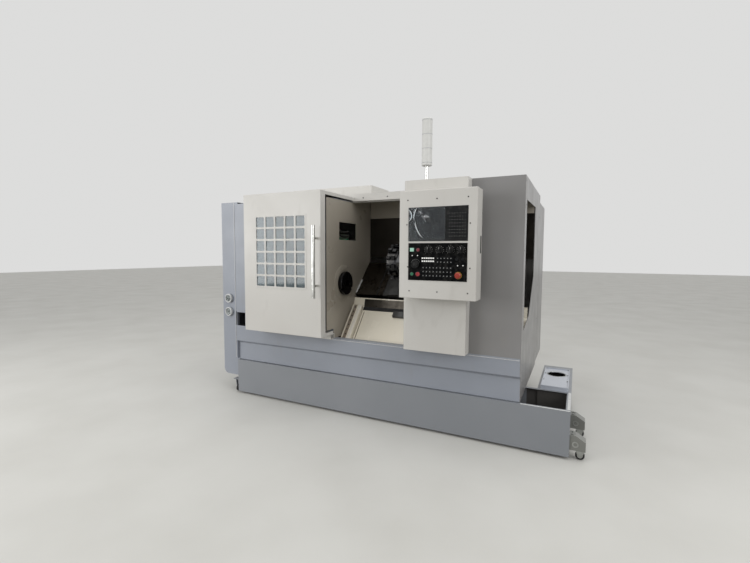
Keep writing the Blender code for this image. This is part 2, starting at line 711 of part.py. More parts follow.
def spindle_motor(pivot):
    """The motor hangs on the front of the bed under the headstock and turns the belt."""
    middle = ((MOTOR_LEFT + MOTOR_RIGHT) / 2.0, MOTOR_Y, MOTOR_Z)
    motor = rod("spindle_motor", middle, (1, 0, 0), MOTOR_RIGHT - MOTOR_LEFT, MOTOR_RADIUS, 32)
    foot_low = (MOTOR_LEFT + MOTOR_FOOT_INSET, MOTOR_Y, MOTOR_Z - MOTOR_RADIUS)
    foot_high = (MOTOR_RIGHT - MOTOR_FOOT_INSET, BED_FRONT - GAP, MOTOR_Z - MOTOR_SHAFT_RADIUS)
    join(motor, box("motor_foot", foot_low, foot_high))
    part(motor, GREY)
    shaft_end = MOTOR_LEFT - RUNNING_GAP
    profile = [(0.0, shaft_end), (MOTOR_SHAFT_RADIUS, shaft_end), (MOTOR_SHAFT_RADIUS, PULLEY_RIGHT),
               (MOTOR_PULLEY_RADIUS, PULLEY_RIGHT), (MOTOR_PULLEY_RADIUS, PULLEY_LEFT), (0.0, PULLEY_LEFT)]
    part(turned("motor_pulley", profile, (0.0, MOTOR_Y, MOTOR_Z), (1, 0, 0)), STEEL, pivot, True)


def belt_loop(radius_a, radius_b, steps):
    """A loop that wraps both pulleys: an arc round each, joined by the outer tangents."""
    a, b = Vector((SPINDLE_Y, SPINDLE_Z)), Vector((MOTOR_Y, MOTOR_Z))
    along = b - a
    heading = math.atan2(along.y, along.x)
    spread = math.acos((radius_a - radius_b) / along.length)
    loop = []
    for centre, radius, start, end in ((a, radius_a, heading + spread, heading - spread + 2.0 * math.pi),
                                       (b, radius_b, heading - spread, heading + spread)):
        for i in range(steps + 1):
            angle = start + (end - start) * i / steps
            loop.append((centre.x + radius * math.cos(angle), centre.y + radius * math.sin(angle)))
    return loop


def drive_belt():
    inner = belt_loop(SPINDLE_PULLEY_RADIUS + RUNNING_GAP, MOTOR_PULLEY_RADIUS + RUNNING_GAP, 24)
    outer = belt_loop(SPINDLE_PULLEY_RADIUS + BELT_THICK, MOTOR_PULLEY_RADIUS + BELT_THICK, 24)
    obj = outline("drive_belt", outer, PULLEY_LEFT + BELT_MARGIN, PULLEY_RIGHT - BELT_MARGIN, holes=(inner,))
    part(obj, RUBBER)


def lower_front_panel():
    path = [(SILL_DEPTH, SILL_Z), (0.0, SILL_Z), (0.0, FOLD_Z), (UNDERCUT, FOLD_Z - FOLD_DROP),
            (UNDERCUT, PANEL_FOOT)]
    part(folded("lower_front_panel", path, BODY_LEFT, SKIN_RIGHT), PALE_GREY)


def left_front_panel():
    path = [(HEADER_Y - GAP, LOW_ROOF_Z), (0.0, LOW_ROOF_Z), (0.0, SILL_Z + GAP)]
    obj = folded("left_front_panel", path, BODY_LEFT, OPENING_LEFT - SHEET - 2.0 * GAP)
    cut(obj, box("port_cut", (PORT_LEFT, -TOOL_MARGIN, PORT_BOTTOM),
                 (PORT_LEFT + PORT_WIDTH, TOOL_MARGIN, PORT_TOP)))
    part(obj, PALE_GREY)


def right_front_panel():
    path = [(HEADER_Y, ROOF_Z), (0.0, ROOF_Z), (0.0, SILL_Z + GAP)]
    part(folded("right_front_panel", path, OPENING_RIGHT, SKIN_RIGHT), GREY)


def right_side_panel():
    """The flat side sheet with its five-sided opening, whose lower edge follows the slant bed."""
    edge = [(0.0, ROOF_Z), (0.0, FOLD_Z), (UNDERCUT, FOLD_Z - FOLD_DROP), (UNDERCUT, PANEL_FOOT),
            (BODY_DEPTH, PANEL_FOOT), (BODY_DEPTH, ROOF_Z)]
    part(outline("right_side_panel", edge, SIDE_INNER, BODY_RIGHT, holes=(SIDE_OPENING,)), GREY)


def left_end_cover():
    """The deep cover over the spindle drive. Its lower outer edge is rounded."""
    low = Vector((END_COVER_LEFT, END_COVER_FRONT, END_COVER_BOTTOM))
    high = Vector((BODY_LEFT - GAP, BODY_DEPTH, END_COVER_TOP))

    def lower_outer_edge(middle):
        return abs(middle.x - low.x) < GAP and abs(middle.z - low.z) < GAP

    obj = open_box("left_end_cover", low, high, ("+X",), rounded=(lower_outer_edge, END_COVER_CHAMFER, 3))
    part(obj, PALE_GREY)


def pressure_gauges():
    """Two glycerine gauges on the front of the end cover, each a turned case with a raised bezel."""
    face, step = GAUGE_DEPTH - 0.005, 0.003
    profile = [(0.0, face), (GAUGE_RADIUS - 0.011, face), (GAUGE_RADIUS - 0.009, GAUGE_DEPTH),
               (GAUGE_RADIUS - step, GAUGE_DEPTH), (GAUGE_RADIUS, GAUGE_DEPTH - step), (GAUGE_RADIUS, 0.006),
               (GAUGE_RADIUS - step, 0.0), (0.0, 0.0)]
    for name, z in zip(("gauge_upper", "gauge_lower"), GAUGE_HEIGHTS):
        obj = turned(name, profile, (GAUGE_X, END_COVER_FRONT - GAP, z), (0, -1, 0))
        part(obj, STAINLESS, round_piece=True)


def roof_panel():
    """Roof and back wall in one folded sheet, with the raised hood over the headstock."""
    path = [(BODY_DEPTH, BACK_WALL_BOTTOM), (BODY_DEPTH, ROOF_Z), (HEADER_Y + GAP, ROOF_Z)]
    obj = folded("roof_panel", path, BODY_LEFT, SKIN_RIGHT)
    join(obj, box("left_edge_flange", (BODY_LEFT, HEADER_Y + GAP, END_COVER_TOP - 0.010),
                  (BODY_LEFT + SHEET, BODY_DEPTH - 0.001, ROOF_Z - 0.001)))
    join(obj, box("hood_block", (HOOD_LEFT, HOOD_FRONT, ROOF_Z - 0.001), (HOOD_RIGHT, HOOD_BACK, HOOD_TOP)))
    cut(obj, box("hood_hollow", (HOOD_LEFT + SHEET, HOOD_FRONT + SHEET, ROOF_Z - TOOL_MARGIN),
                 (HOOD_RIGHT - SHEET, HOOD_BACK - SHEET, HOOD_TOP - SHEET)))
    part(obj, CREAM)


def header():
    """The channel over the opening, with the ledge that guides the back of the door."""
    back = HEADER_Y + HEADER_DEPTH
    path = [(back, ROOF_UNDER), (HEADER_Y, ROOF_UNDER), (HEADER_Y, HEADER_BOTTOM), (back, HEADER_BOTTOM)]
    obj = folded("header", path, BODY_LEFT + SHEET + GAP, OPENING_RIGHT - GAP)
    join(obj, box("door_guide_ledge", (BODY_LEFT + 0.005, HEADER_Y - LEDGE_DEPTH, LEDGE_BOTTOM),
                  (OPENING_RIGHT - 2.0 * GAP, HEADER_Y + 0.001, LEDGE_BOTTOM + LEDGE_HEIGHT)))
    part(obj, CREAM)


def left_inner_wall():
    """The wall between headstock and work space. Its front edge reaches into the door's tray."""
    wall_right = OPENING_LEFT - GAP / 2.0
    back = HEADER_Y + HEADER_DEPTH + 0.001
    floor = BED_H + 2.0 * GAP
    low = slope(BED_S_LOW, floor)
    reach = (GUARD_Y - low[0]) / math.cos(SLANT)
    edge = [(0.0, SILL_Z + GAP), (low[0] - 0.002, SILL_Z + GAP), low, slope(BED_S_LOW + reach, floor),
            (GUARD_Y, ROOF_UNDER), (back, ROOF_UNDER), (back, HEADER_BOTTOM - GAP),
            (WALL_FRONT, HEADER_BOTTOM - GAP), (WALL_FRONT, WALL_FOOT), (0.0, WALL_FOOT)]
    window = rectangle(INNER_WINDOW[0][0], INNER_WINDOW[0][1], INNER_WINDOW[1][0], INNER_WINDOW[1][1])
    hole = circle((SPINDLE_Y, SPINDLE_Z), WALL_HOLE_RADIUS, 40)
    part(outline("left_inner_wall", edge, wall_right - SHEET, wall_right, holes=(window, hole)), CREAM)


def rear_guard():
    path = [(GUARD_Y, ROOF_UNDER), (GUARD_Y, GUARD_BOTTOM)]
    part(folded("rear_guard", path, OPENING_LEFT + GAP / 2.0, SKIN_RIGHT), DARK_GUARD)


def chip_chute():
    """The steep chute under the carriage, with its guard strips and the gap for the tailstock."""
    obj = folded("chip_chute", CHUTE_PATH, OPENING_LEFT + GAP / 2.0, SKIN_RIGHT, wall=SHEET)
    cut(obj, box("chute_notch", (CHUTE_NOTCH_LEFT, 0.150, CHUTE_NOTCH_BOTTOM),
                 (CHUTE_NOTCH_RIGHT, 0.420, CHUTE_PATH[0][1] + TOOL_MARGIN)))
    top, foot = Vector(CHUTE_PATH[1]), Vector(CHUTE_PATH[2])
    along = (foot - top).normalized()
    off = Vector((along.y, -along.x))
    for index, x in enumerate(CHUTE_TRIM_XS):
        start, end = top + along * 0.010, foot - along * 0.001
        corners = [start - off * 0.001, end - off * 0.001,
                   end + off * CHUTE_TRIM_HEIGHT, start + off * CHUTE_TRIM_HEIGHT]
        join(obj, outline(f"guard_strip_{index}", [tuple(c) for c in corners], x, x + CHUTE_TRIM_WIDTH))
    part(obj, STAINLESS)


def front_column():
    """The cream cover that carries the console's hinge, with a rounded front corner."""
    low = Vector((OPENING_RIGHT, COLUMN_FRONT, COLUMN_BOTTOM))
    high = Vector((COLUMN_RIGHT, -GAP, ROOF_Z))

    def front_left_edge(middle):
        return abs(middle.x - low.x) < GAP and abs(middle.y - low.y) < GAP

    obj = open_box("front_column", low, high, ("+Y",), rounded=(front_left_edge, COLUMN_CORNER, 4))
    for index, bottom in enumerate(KNUCKLE_BOTTOMS):
        join_knuckle(obj, f"column_{index}", bottom, (CONSOLE_HINGE_X - 0.003, CONSOLE_HINGE_Y),
                     (CONSOLE_HINGE_X + KNUCKLE_RADIUS, COLUMN_FRONT + 0.001))
    part(obj, CREAM)


def join_knuckle(obj, name, bottom, leaf_low, leaf_high):
    """One hinge knuckle and the leaf that ties it to its carrier."""
    centre = (CONSOLE_HINGE_X, CONSOLE_HINGE_Y, bottom + KNUCKLE_HEIGHT / 2.0)
    join(obj, rod(name + "_knuckle", centre, (0, 0, 1), KNUCKLE_HEIGHT, KNUCKLE_RADIUS, 16))
    join(obj, box(name + "_leaf", (*leaf_low, bottom + 0.002), (*leaf_high, bottom + KNUCKLE_HEIGHT - 0.002)))


def signal_tower():
    foot = ROOF_Z + GAP
    profile = [(0.0, POLE_TOP), (POLE_RADIUS, POLE_TOP), (POLE_RADIUS, foot + 0.012),
               (POLE_FOOT_RADIUS, foot + 0.008), (POLE_FOOT_RADIUS, foot), (0.0, foot)]
    part(turned("signal_pole", profile, (TOWER_X, TOWER_Y, 0.0), (0, 0, 1), 24), STAINLESS, round_piece=True)
    low = POLE_TOP + GAP
    profile = [(0.0, LAMP_TOP), (LAMP_RADIUS - 0.006, LAMP_TOP), (LAMP_RADIUS, LAMP_TOP - 0.006),
               (LAMP_RADIUS, low + 0.004), (LAMP_RADIUS - 0.004, low), (0.0, low)]
    part(turned("signal_lamp", profile, (TOWER_X, TOWER_Y, 0.0), (0, 0, 1)), WHITE_PLASTIC, round_piece=True)


def door_bottom_rail():
    low, high = (RAIL_LEFT, RAIL_FRONT, SILL_Z + GAP), (RAIL_RIGHT, -GAP, RAIL_TOP)
    obj = box("door_bottom_rail", low, high)
    cut(obj, box("rail_hollow", (RAIL_LEFT - TOOL_MARGIN, RAIL_FRONT + SHEET, SILL_Z + SHEET),
                 (RAIL_RIGHT + TOOL_MARGIN, -SHEET, RAIL_TOP - SHEET)))
    part(obj, CREAM)


def slant_path(points):
    return [slope(s, h) for s, h in points]


def cover_sheet(name, left, right, step):
    """One telescopic cover. Each inner one is a step lower and narrower than the one over it."""
    top = COVER_H - step
    low, high = COVER_S[0] + step, COVER_S[1] - step
    lip = top - COVER_LIP
    path = slant_path([(high, lip), (high, top), (low, top), (low, lip)])
    return folded(name, path, left, right, COVER_SHEET)


def way_covers(middle_pivot):
    outer_left = OPENING_LEFT + GAP / 2.0
    part(cover_sheet("way_cover_outer", outer_left, outer_left + COVER_LENGTH, 0.0), STAINLESS)
    step = COVER_SHEET + RUNNING_GAP
    part(cover_sheet("way_cover_middle", MIDDLE_COVER_LEFT, MIDDLE_COVER_RIGHT, step), STAINLESS,
         middle_pivot)


def rail_grooves(obj, name, rails, left, right):
    """Grooves that let a carriage run on the bed's ground rails."""
    for index, s in enumerate(rails):
        half = RAIL_WIDTH / 2.0 + RUNNING_GAP
        span_h = (BED_H - TOOL_MARGIN, BED_H + RAIL_HEIGHT + RUNNING_GAP)
        cut(obj, slant_box(f"{name}_groove_{index}", (left - TOOL_MARGIN, right + TOOL_MARGIN),
                           (s - half, s + half), span_h))


def saddle(pivot):
    """The saddle on its two rails, with the innermost way cover fixed to its left side."""
    bottom = BED_H + RUNNING_GAP
    obj = slant_box("saddle", (SADDLE_LEFT, SADDLE_RIGHT), SADDLE_S, (bottom, SADDLE_TOP_H))
    rail_grooves(obj, "saddle", SADDLE_RAILS, SADDLE_LEFT, SADDLE_RIGHT)
    step = 2.0 * (COVER_SHEET + RUNNING_GAP)
    inner_left = OPENING_LEFT - Z_TRAVEL[0] + 0.005
    top, low, high = COVER_H - step, COVER_S[0] + step, COVER_S[1] - step
    lip = top - COVER_LIP
    sheet = COVER_SHEET
    path = [(high, lip), (high, top), (low, top), (low, lip), (low + sheet, lip), (low + sheet, top - sheet),
            (high - sheet, top - sheet), (high - sheet, lip)]
    join(obj, outline("inner_way_cover", slant_path(path), inner_left, SADDLE_LEFT + 0.001))
    part(obj, CASTING, pivot)


def cross_slide(pivot):
    bottom = SADDLE_TOP_H + GAP
    obj = slant_box("cross_slide", (SLIDE_LEFT, SLIDE_RIGHT), SLIDE_S, (bottom, SLIDE_TOP_H))
    gib = SLIDE_TOP_H - 0.022
    for index, (left, right) in enumerate(((SLIDE_LEFT - TOOL_MARGIN, SLIDE_LEFT + SLIDE_STEP),
                                           (SLIDE_RIGHT - SLIDE_STEP, SLIDE_RIGHT + TOOL_MARGIN))):
        span_s = (SLIDE_S[0] - TOOL_MARGIN, SLIDE_S[1] + TOOL_MARGIN)
        cut(obj, slant_box(f"slide_step_{index}", (left, right), span_s, (gib, SLIDE_TOP_H + TOOL_MARGIN)))
    part(obj, CASTING, pivot)


def turret_housing(pivot):
    """The block that carries the turret, with a stepped motor cover at its right end."""
    right = HOUSING_LEFT + HOUSING_LENGTH
    span_s = (TURRET_S - HOUSING_HALF, TURRET_S + HOUSING_HALF)
    bottom = SLIDE_TOP_H + GAP
    obj = slant_box("turret_housing", (HOUSING_LEFT, right), span_s, (bottom, HOUSING_HALF))
    soften(obj, 0.008)
    xs = (right - HOUSING_STEP_LENGTH, right + TOOL_MARGIN)
    cut(obj, slant_box("housing_step", xs, (span_s[0] - TOOL_MARGIN, span_s[1] + TOOL_MARGIN),
                       (HOUSING_HALF - HOUSING_STEP_DROP, HOUSING_HALF + TOOL_MARGIN)))
    part(obj, GREY, pivot)


def turret_disc(pivot):
    """The twelve-sided disc with one square tool shank on each of its flats."""
    centre = slope(TURRET_S, 0.0)
    half = math.pi / STATIONS
    points = []
    for index in range(STATIONS):
        for side in (-0.86, 0.86):
            angle = 2.0 * math.pi * index / STATIONS + side * half
            points.append((centre[0] + DISC_RADIUS * math.cos(angle),
                           centre[1] + DISC_RADIUS * math.sin(angle)))
    obj = outline("turret_disc", points, TURRET_LEFT, DISC_RIGHT)
    join(obj, tool_ring(centre))
    cut(obj, rod("disc_face_recess", (TURRET_LEFT, *centre), (1, 0, 0), 2.0 * DISC_RECESS_DEPTH,
                 DISC_RECESS_RADIUS))
    part(obj, STEEL, pivot)


def tool_ring(centre):
    """All the tool shanks in one mesh. Each starts inside the disc and reaches past its rim."""
    bm = bmesh.new()
    tip = DISC_RADIUS + TOOL_REACH
    size = Matrix.Diagonal((TOOL_WIDTH, TOOL_SIZE, tip - TOOL_ROOT, 1.0))
    middle = (TURRET_LEFT + TOOL_CENTRE_SHARE * TOOL_WIDTH, 0.0, (tip + TOOL_ROOT) / 2.0)
    for index in range(STATIONS):
        turn = Matrix.Rotation((index + 0.5) * 2.0 * math.pi / STATIONS, 4, "X")
        place = Matrix.Translation((0.0, *centre)) @ turn @ Matrix.Translation(middle) @ size
        bmesh.ops.create_cube(bm, size=1.0, matrix=place)
    return from_bmesh("tool_ring", bm)


def tailstock(pivot):
    """The tailstock on its own pair of rails: base, neck and the barrel on the spindle's axis."""
    bottom = BED_H + RUNNING_GAP
    obj = slant_box("tailstock_body", (TAILSTOCK_LEFT, TAILSTOCK_RIGHT), TAILSTOCK_S,
                    (bottom, TAILSTOCK_BASE_H))
    rail_grooves(obj, "tailstock", TAILSTOCK_RAILS, TAILSTOCK_LEFT, TAILSTOCK_RIGHT)
    join(obj, slant_box("tailstock_neck", (TAILSTOCK_LEFT + 0.040, TAILSTOCK_RIGHT - 0.030), TAILSTOCK_NECK_S,
                        (TAILSTOCK_BASE_H - 0.005, 0.010)))
    middle = ((TAILSTOCK_LEFT + TAILSTOCK_RIGHT) / 2.0, SPINDLE_Y, SPINDLE_Z)
    length = TAILSTOCK_RIGHT - TAILSTOCK_LEFT
    join(obj, rod("tailstock_barrel", middle, (1, 0, 0), length, BARREL_RADIUS, 32))
    cut(obj, rod("tailstock_bore", middle, (1, 0, 0), length + TOOL_MARGIN, QUILL_BORE, 32))
    part(obj, CASTING, pivot)


def quill(pivot):
    """The quill with its sixty-degree centre."""
    cone = QUILL_TIP + QUILL_CONE_RADIUS / math.tan(math.radians(30.0))
    tail = TAILSTOCK_RIGHT - QUILL_INSET
    profile = [(0.0, tail), (QUILL_RADIUS, tail), (QUILL_RADIUS, cone + 0.012),
               (QUILL_CONE_RADIUS, cone + 0.010), (QUILL_CONE_RADIUS, cone), (0.0, QUILL_TIP)]
    part(turned("tailstock_quill", profile, (0.0, SPINDLE_Y, SPINDLE_Z), (1, 0, 0)), STEEL, pivot, True)


def door_panel(pivot):
    """A shallow folded tray with its window, a tray for the roof and a channel over the rail."""
    obj = open_box("door_panel", (DOOR_LEFT, DOOR_FRONT, DOOR_BOTTOM), (DOOR_RIGHT, DOOR_BACK, DOOR_TOP),
                   ("+Y",))
    splice = DOOR_BACK - DOOR_SPLICE
    join(obj, open_box("door_roof", (DOOR_LEFT, splice, DOOR_ROOF_BOTTOM),
                       (DOOR_RIGHT, DOOR_ROOF_BACK, DOOR_TOP), ("-Z",)))
    join(obj, open_box("door_foot", (DOOR_LEFT, splice, DOOR_BOTTOM),
                       (DOOR_RIGHT, DOOR_FOOT_BACK, DOOR_FOOT_TOP), ("+Z",)))
    cut(obj, outline("window_cut", rectangle(WINDOW_LEFT, WINDOW_BOTTOM, WINDOW_RIGHT, WINDOW_TOP),
                     DOOR_FRONT - TOOL_MARGIN, DOOR_FRONT + TOOL_MARGIN, axis="Y"))
    part(obj, CREAM, pivot)


def door_window(pivot):
    """The grille of rounded cells with one sheet of glass behind it."""
    left, right = WINDOW_LEFT + GAP, WINDOW_RIGHT - GAP
    bottom, top = WINDOW_BOTTOM + GAP, WINDOW_TOP - GAP
    width = (right - left - 2.0 * WINDOW_FRAME - (WINDOW_COLUMNS - 1) * WINDOW_BAR) / WINDOW_COLUMNS
    height = (top - bottom - 2.0 * WINDOW_FRAME - (WINDOW_ROWS - 1) * WINDOW_BAR) / WINDOW_ROWS
    cells = []
    for column in range(WINDOW_COLUMNS):
        for row in range(WINDOW_ROWS):
            x = left + WINDOW_FRAME + column * (width + WINDOW_BAR)
            z = bottom + WINDOW_FRAME + row * (height + WINDOW_BAR)
            cells.append(rectangle(x, z, x + width, z + height, CELL_CORNER))
    skin_back = DOOR_FRONT + SHEET
    frame = rectangle(left, bottom, right, top)
    part(outline("window_grille", frame, DOOR_FRONT - 0.0025, skin_back, axis="Y", holes=cells), CREAM, pivot)
    low = (WINDOW_LEFT - GLASS_LAP, skin_back + GAP, WINDOW_BOTTOM - GLASS_LAP)
    high = (WINDOW_RIGHT + GLASS_LAP, skin_back + GAP + GLASS_THICK, WINDOW_TOP + GLASS_LAP)
    part(box("window_glass", low, high), GLASS, pivot)


def door_handle(pivot):
    middle = (HANDLE_X, HANDLE_Y, (HANDLE_BOTTOM + HANDLE_TOP) / 2.0)
    obj = rod("door_handle", middle, (0, 0, 1), HANDLE_TOP - HANDLE_BOTTOM, HANDLE_RADIUS, 24)
    foot = DOOR_FRONT - GAP
    for index, z in enumerate(STANDOFF_HEIGHTS):
        centre = (HANDLE_X, (HANDLE_Y + foot) / 2.0, z)
        join(obj, rod(f"handle_standoff_{index}", centre, (0, 1, 0), foot - HANDLE_Y, STANDOFF_RADIUS, 16))
    part(obj, STAINLESS, pivot, True)


def console_box(pivot):
    """The hollow console with openings for display and keys, and its half of the two hinges."""
    low = Vector((CONSOLE_LEFT, CONSOLE_FRONT, CONSOLE_BOTTOM))
    high = Vector((CONSOLE_RIGHT, CONSOLE_BACK, CONSOLE_TOP))
    obj = soften(box("console_box", low, high), CONSOLE_EDGE)
    wall = Vector((SHEET, SHEET, SHEET))
    cut(obj, box("console_hollow", low + wall, high - wall))
    units = {"display": (DISPLAY_LEFT, DISPLAY_BOTTOM, DISPLAY_RIGHT, DISPLAY_TOP),
             "panel": (PANEL_LEFT, PANEL_BOTTOM, PANEL_RIGHT, PANEL_TOP)}
    for name, (left, bottom, right, top) in units.items():
        cut(obj, box(name + "_cut", (left - GAP, CONSOLE_FRONT - TOOL_MARGIN, bottom - GAP),
                     (right + GAP, CONSOLE_FRONT + SHEET + TOOL_MARGIN, top + GAP)))
    cut(obj, box("pull_slot", (CONSOLE_RIGHT - TOOL_MARGIN, PULL_Y - 0.012, PULL_BOTTOM),
                 (CONSOLE_RIGHT + TOOL_MARGIN, PULL_Y + 0.012, PULL_TOP)))
    for index, bottom in enumerate(KNUCKLE_BOTTOMS):
        join_knuckle(obj, f"console_{index}", bottom + KNUCKLE_HEIGHT + GAP,
                     (CONSOLE_HINGE_X, CONSOLE_HINGE_Y - 0.006),
                     (CONSOLE_LEFT + 0.001, CONSOLE_HINGE_Y - 0.001))
    part(obj, CREAM, pivot)


def display_unit(pivot):
    front = CONSOLE_FRONT - PANEL_PROUD
    obj = box("display_unit", (DISPLAY_LEFT, front, DISPLAY_BOTTOM),
              (DISPLAY_RIGHT, front + DISPLAY_BODY, DISPLAY_TOP))
    soften(obj, 0.0015)
    screen_right = DISPLAY_LEFT + 0.62 * (DISPLAY_RIGHT - DISPLAY_LEFT)
    cut(obj, box("screen_recess", (DISPLAY_LEFT + 0.030, front - TOOL_MARGIN, DISPLAY_BOTTOM + 0.022),
                 (screen_right, front + 0.002, DISPLAY_TOP - 0.022)))
    part(obj, BLACK_PLASTIC, pivot)


def operator_panel(pivot):
    """The key panel. Every button slides in a well of its own."""
    front = CONSOLE_FRONT - PANEL_PROUD
    obj = box("operator_panel", (PANEL_LEFT, front, PANEL_BOTTOM),
              (PANEL_RIGHT, front + PANEL_BODY, PANEL_TOP))
    floor = front + BUTTON_SINK + BUTTON_TRAVEL + RUNNING_GAP
    for name, (x, z, radius) in (("estop", (ESTOP[0], ESTOP[1], 0.6 * ESTOP[2])), ("start", START),
                                 ("stop", STOP), ("power_off", POWER_OFF)):
        centre = (x, (front - TOOL_MARGIN + floor) / 2.0, z)
        depth = floor - front + TOOL_MARGIN
        cut(obj, rod(name + "_well", centre, (0, 1, 0), depth, radius + RUNNING_GAP, 24))
    half_x, half_z = POWER_ON_SIZE[0] / 2.0 + RUNNING_GAP, POWER_ON_SIZE[1] / 2.0 + RUNNING_GAP
    cut(obj, box("power_on_well", (POWER_ON[0] - half_x, front - TOOL_MARGIN, POWER_ON[1] - half_z),
                 (POWER_ON[0] + half_x, floor, POWER_ON[1] + half_z)))
    part(obj, BLACK_PLASTIC, pivot)


def control_empty(name, x, z):
    return new_empty(name, (x, CONSOLE_FRONT - PANEL_PROUD, z), CONSOLE_PIVOT)


def round_button(name, place, look):
    x, z, radius = place
    front = CONSOLE_FRONT - PANEL_PROUD
    edge = 0.0015
    profile = [(0.0, BUTTON_PROUD), (radius - edge, BUTTON_PROUD), (radius, BUTTON_PROUD - edge),
               (radius, -BUTTON_SINK), (0.0, -BUTTON_SINK)]
    button = turned(name, profile, (x, front, z), (0, -1, 0), 24)
    part(button, look, control_empty(name + "_press", x, z), True)


def buttons():
    round_button("start_button", START, GREEN_PLASTIC)
    round_button("stop_button", STOP, RED_PLASTIC)
    round_button("power_off_button", POWER_OFF, RED_PLASTIC)
    front = CONSOLE_FRONT - PANEL_PROUD
    x, z = POWER_ON
    half_x, half_z = POWER_ON_SIZE[0] / 2.0, POWER_ON_SIZE[1] / 2.0
    square = box("power_on_button", (x - half_x, front - BUTTON_PROUD, z - half_z),
                 (x + half_x, front + BUTTON_SINK, z + half_z))
    part(soften(square, 0.0015), GREEN_PLASTIC, control_empty("power_on_press", x, z))
    x, z, radius = ESTOP
    stem = 0.6 * radius
    profile = [(0.0, 0.024), (0.7 * radius, 0.023), (radius, 0.018), (radius, 0.010), (0.85 * radius, 0.008),
               (stem, 0.008), (stem, -BUTTON_SINK), (0.0, -BUTTON_SINK)]
    mushroom = turned("estop_button", profile, (x, front, z), (0, -1, 0), 28)
    part(mushroom, RED_PLASTIC, control_empty("estop_press", x, z), True)


def knobs():
    """Four selector knobs with a grip bar each, and the pulse handwheel with its crank."""
    front = CONSOLE_FRONT - PANEL_PROUD - GAP
    for index, (x, z) in enumerate(KNOBS, start=1):
        skirt = 0.007
        profile = [(0.0, skirt + 0.001), (0.75 * KNOB_RADIUS, skirt + 0.001), (KNOB_RADIUS, skirt - 0.002),
                   (KNOB_RADIUS, 0.0), (0.0, 0.0)]
        obj = turned(f"knob_{index}", profile, (x, front, z), (0, -1, 0), 28)
        join(obj, box(f"knob_grip_{index}", (x - 0.005, front - KNOB_DEPTH, z - 0.85 * KNOB_RADIUS),
                      (x + 0.005, front - skirt, z + 0.85 * KNOB_RADIUS)))
        part(obj, BLACK_PLASTIC, control_empty(f"knob_{index}_turn", x, z), True)
    x, z = HANDWHEEL
    rim = HANDWHEEL_RADIUS
    profile = [(0.0, 0.011), (0.75 * rim, 0.010), (0.82 * rim, HANDWHEEL_DEPTH),
               (rim - 0.002, HANDWHEEL_DEPTH), (rim, HANDWHEEL_DEPTH - 0.002), (rim, 0.0), (0.0, 0.0)]
    obj = turned("handwheel", profile, (x, front, z), (0, -1, 0), 36)
    join(obj, rod("handwheel_crank", (x + 0.55 * rim, front - 0.014, z), (0, 1, 0), 0.014, 0.0045, 16))
    part(obj, BLACK_PLASTIC, control_empty("handwheel_turn", x, z), True)


def tank_outline(inset):
    left, right = TANK_LEFT + inset, TANK_RIGHT - inset
    inner = PUMP_BAY_LEFT + inset
    return [(left, inset), (right, inset), (right, PUMP_BAY_BACK - inset), (inner, PUMP_BAY_BACK - inset),
            (inner, TROUGH_DEPTH - inset), (left, TROUGH_DEPTH - inset)]


def coolant_tank(pivot):
    """An L-shaped trough with an inward rim, castor brackets at its right and wheel cheeks at its left."""
    obj = outline("coolant_tank", tank_outline(0.0), TANK_BOTTOM, TANK_TOP, axis="Z")
    cut(obj, outline("tank_hollow", tank_outline(SHEET), TANK_BOTTOM + SHEET, TANK_TOP - SHEET, axis="Z"))
    low, high = TANK_TOP - 2.0 * SHEET, TANK_TOP + TOOL_MARGIN
    inner_right = TANK_RIGHT - TANK_RIM
    cut(obj, box("trough_mouth", (TANK_LEFT + TANK_RIM, TANK_RIM, low),
                 (inner_right, TROUGH_DEPTH - TANK_RIM, high)))
    cut(obj, box("bay_mouth", (PUMP_BAY_LEFT + TANK_RIM, TROUGH_DEPTH, low),
                 (inner_right, PUMP_BAY_BACK - PUMP_DECK, high)))
    weir_y = TROUGH_DEPTH - TANK_RIM / 2.0
    join(obj, box("weir", (PUMP_BAY_LEFT, weir_y, WEIR_BOTTOM),
                  (TANK_RIGHT - 0.001, weir_y + SHEET, TANK_TOP - 0.001)))
    for index, y in enumerate(CASTOR_YS):
        castor_bracket(obj, index, y)
    x = TANK_LEFT - LEFT_CASTOR_OFFSET
    for index, y in enumerate(LEFT_CASTOR_YS):
        join(obj, box(f"wheel_shelf_{index}", (x - 0.030, y - BRACKET_HALF, LEFT_SHELF_Z),
                      (TANK_LEFT + 0.001, y + BRACKET_HALF, LEFT_SHELF_Z + SHELF_THICK)))
        join_cheeks(obj, f"fixed_{index}", (x, y), "X", LEFT_SHELF_Z + 0.001)
    part(obj, PALE_GREY, pivot)


def castor_bracket(obj, index, y):
    """A sheet bracket over one castor, with a sloped outer corner and an open back."""
    left, right, top = TANK_RIGHT - 0.001, CASTOR_REACH, BRACKET_TOP
    shape = [(left, BRACKET_BOTTOM), (right, BRACKET_BOTTOM), (right, top - BRACKET_SLOPE_Z),
             (right - BRACKET_SLOPE_X, top), (left, top)]
    join(obj, outline(f"castor_bracket_{index}", shape, y - BRACKET_HALF, y + BRACKET_HALF, axis="Y"))
    left, right, top = left + SHEET, right - SHEET, top - SHEET
    shape = [(left, BRACKET_BOTTOM + SHEET), (right, BRACKET_BOTTOM + SHEET),
             (right, top - BRACKET_SLOPE_Z + 0.001), (right - BRACKET_SLOPE_X + 0.001, top), (left, top)]
    cut(obj, outline(f"bracket_hollow_{index}", shape, y - BRACKET_HALF + SHEET,
                     y + BRACKET_HALF + TOOL_MARGIN, axis="Y"))


